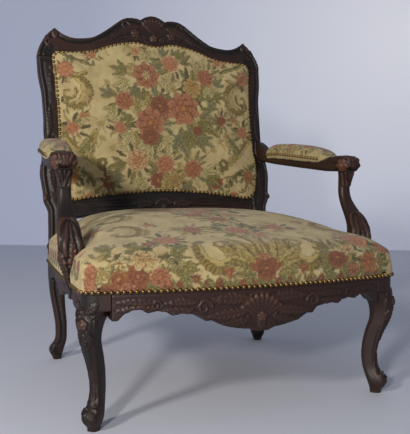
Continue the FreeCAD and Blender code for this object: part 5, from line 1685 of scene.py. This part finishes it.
linen = stretched("outside_back_panel", "outside_back_linen", tuple(-BACK_NORMAL),
                  14 * MM, 3.0 * MM, 1.2 * MM)
linen.data.materials.append(woven_finish("linen_weave", 0.0011, tint(176, 158, 122)))
burlap = stretched("seat_hessian", "seat_burlap", (0, 0, -1), 20 * MM, 0.0, 1.0 * MM)
burlap.data.materials.append(woven_finish("burlap_weave", HESSIAN_THREAD, HESSIAN_TINT))

# %% [markdown]
# ## Webbing
# Jute straps cross under the seat, over and under each other in turn. Each strap is a thin ribbon
# that rises and falls by its own thickness at every crossing.


# %% Webbing
def strap_boxes(node):
    """Lowest and highest corner of each strap in a packed group."""
    shape = bmesh.new()
    shape.from_mesh(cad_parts[node].data)
    bmesh.ops.remove_doubles(shape, verts=shape.verts, dist=1e-6)
    left = set(shape.verts)
    boxes = []
    while left:
        stack = [left.pop()]
        found = list(stack)
        while stack:
            for edge in stack.pop().link_edges:
                for vert in edge.verts:
                    if vert in left:
                        left.discard(vert)
                        found.append(vert)
                        stack.append(vert)
        spots = np.array([vert.co for vert in found])
        boxes.append((spots.min(0), spots.max(0)))
    shape.free()
    return sorted(boxes, key=lambda item: tuple(item[0]))


LENGTHWISE = strap_boxes("seat_straps_lengthwise")
CROSSWISE = strap_boxes("seat_straps_crosswise")
CUTS_ALONG = 60
CUTS_ACROSS = 6
CROSSING_HALF = 0.03
CROSSING_LIFT = 0.9 * MM
STRAP_CROWN = 0.15 * MM
STRAP_THICKNESS = 1.3 * MM


def woven_straps(node, boxes, along, crossings, phase):
    """The straps of one direction as ribbons that weave through the others."""
    shape = bmesh.new()
    other = 1 - along
    middle = (LENGTHWISE[0][0][2] + CROSSWISE[0][1][2]) / 2
    cuts = (CUTS_ALONG, CUTS_ACROSS) if along == 0 else (CUTS_ACROSS, CUTS_ALONG)
    for number, (low, high) in enumerate(boxes):
        made = bmesh.ops.create_grid(shape, x_segments=cuts[0], y_segments=cuts[1],
                                     size=0.5)["verts"]
        size = high - low
        bmesh.ops.scale(shape, vec=(size[0], size[1], 1), verts=made)
        centre = (low + high) / 2
        bmesh.ops.translate(shape, vec=(centre[0], centre[1], middle), verts=made)
        for vert in made:
            lift = 0.0
            for index, (a, b) in enumerate(crossings):
                spot = (a[along] + b[along]) / 2
                sign = 1 if (index + number + phase) % 2 else -1
                lift += sign * math.exp(-((vert.co[along] - spot) / CROSSING_HALF) ** 4)
            edge = abs(vert.co[other] - centre[other]) / (size[other] / 2)
            vert.co.z += CROSSING_LIFT * lift + STRAP_CROWN * (1 - edge)
    for face in shape.faces:
        face.smooth = True
    piece = new_piece(f"{node}_webbing", shape)
    points, _ = read_points(piece.data)
    paint(piece.data, Tapestry(points[:, :2]), points[:, :2])
    with_modifier(piece, "SOLIDIFY", thickness=STRAP_THICKNESS, offset=0)
    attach(piece, "root")
    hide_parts(node)
    return piece


webbing_finish = woven_finish("webbing_weave", 0.0032, tint(168, 142, 98))
for node, boxes, along, crossings, phase in (
        ("seat_straps_lengthwise", LENGTHWISE, 1, CROSSWISE, 0),
        ("seat_straps_crosswise", CROSSWISE, 0, LENGTHWISE, 1)):
    woven_straps(node, boxes, along, crossings, phase).data.materials.append(webbing_finish)

# %% [markdown]
# ## Nails, pegs and blocks
# The cover nails are brass gone brown between the domes, and the screws are dull steel. The hidden
# blocks are plain beech, the rear rail is plain walnut, and the pegs show end grain. The straps and
# the hessian shut inside the back keep their packed form.


# %% Small parts
def brass_finish():
    """Antiqued brass with dull and bright patches."""
    finish = Finish("antique_brass")
    place = finish.place()
    patch = finish.noise(place, 60.0, 2.0, 0.6)
    fine = finish.noise(place, 900.0, 2.0, 0.6)
    colour = finish.mix(patch, solid(tint(62, 46, 28)), solid(tint(158, 126, 76)))
    return finish.set(Base_Color=colour, Metallic=1.0, Roughness=patch * 0.25 + 0.28,
                      Normal=finish.bump(fine, 0.1, 0.0004))


def bare_finish(name, dark, light, stretch):
    """Plain planed wood."""
    finish = Finish(name)
    place = finish.place(stretch)
    figure = finish.noise(place, 16.0, 4.0, 0.6)
    pores = finish.noise(place, 160.0, 2.0, 0.6)
    colour = finish.mix(figure, solid(dark), solid(light))
    return finish.set(Base_Color=colour, Roughness=0.62, Normal=finish.bump(pores, 0.25, 0.0006))


def steel_finish():
    """Dull old screw steel."""
    finish = Finish("old_steel")
    patch = finish.noise(finish.place(), 200.0, 3.0, 0.6)
    colour = finish.mix(patch, solid(tint(70, 64, 58)), solid(tint(150, 144, 136)))
    return finish.set(Base_Color=colour, Metallic=1.0, Roughness=patch * 0.3 + 0.35)


def refinish(node, material):
    """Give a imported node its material."""
    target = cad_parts[node]
    target.data.materials.clear()
    target.data.materials.append(material)


brass = brass_finish()
beech = bare_finish("beech_across", tint(120, 88, 56), tint(170, 132, 90), (0.1, 1, 1))
pegs = bare_finish("peg_end_grain", tint(52, 34, 25), tint(84, 56, 40), (1, 1, 1))
steel = steel_finish()
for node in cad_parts:
    if node.endswith("_nails"):
        refinish(node, brass)
    elif node.endswith("corner_block"):
        refinish(node, beech)
refinish("rear_seat_rail", walnut_across)
refinish("joint_pegs", pegs)
refinish("support_screws", steel)
inner_hessian = woven_finish("inner_hessian", HESSIAN_THREAD, HESSIAN_TINT)
for node in ("back_hessian", "back_straps_upright", "back_straps_across"):
    refinish(node, inner_hessian)
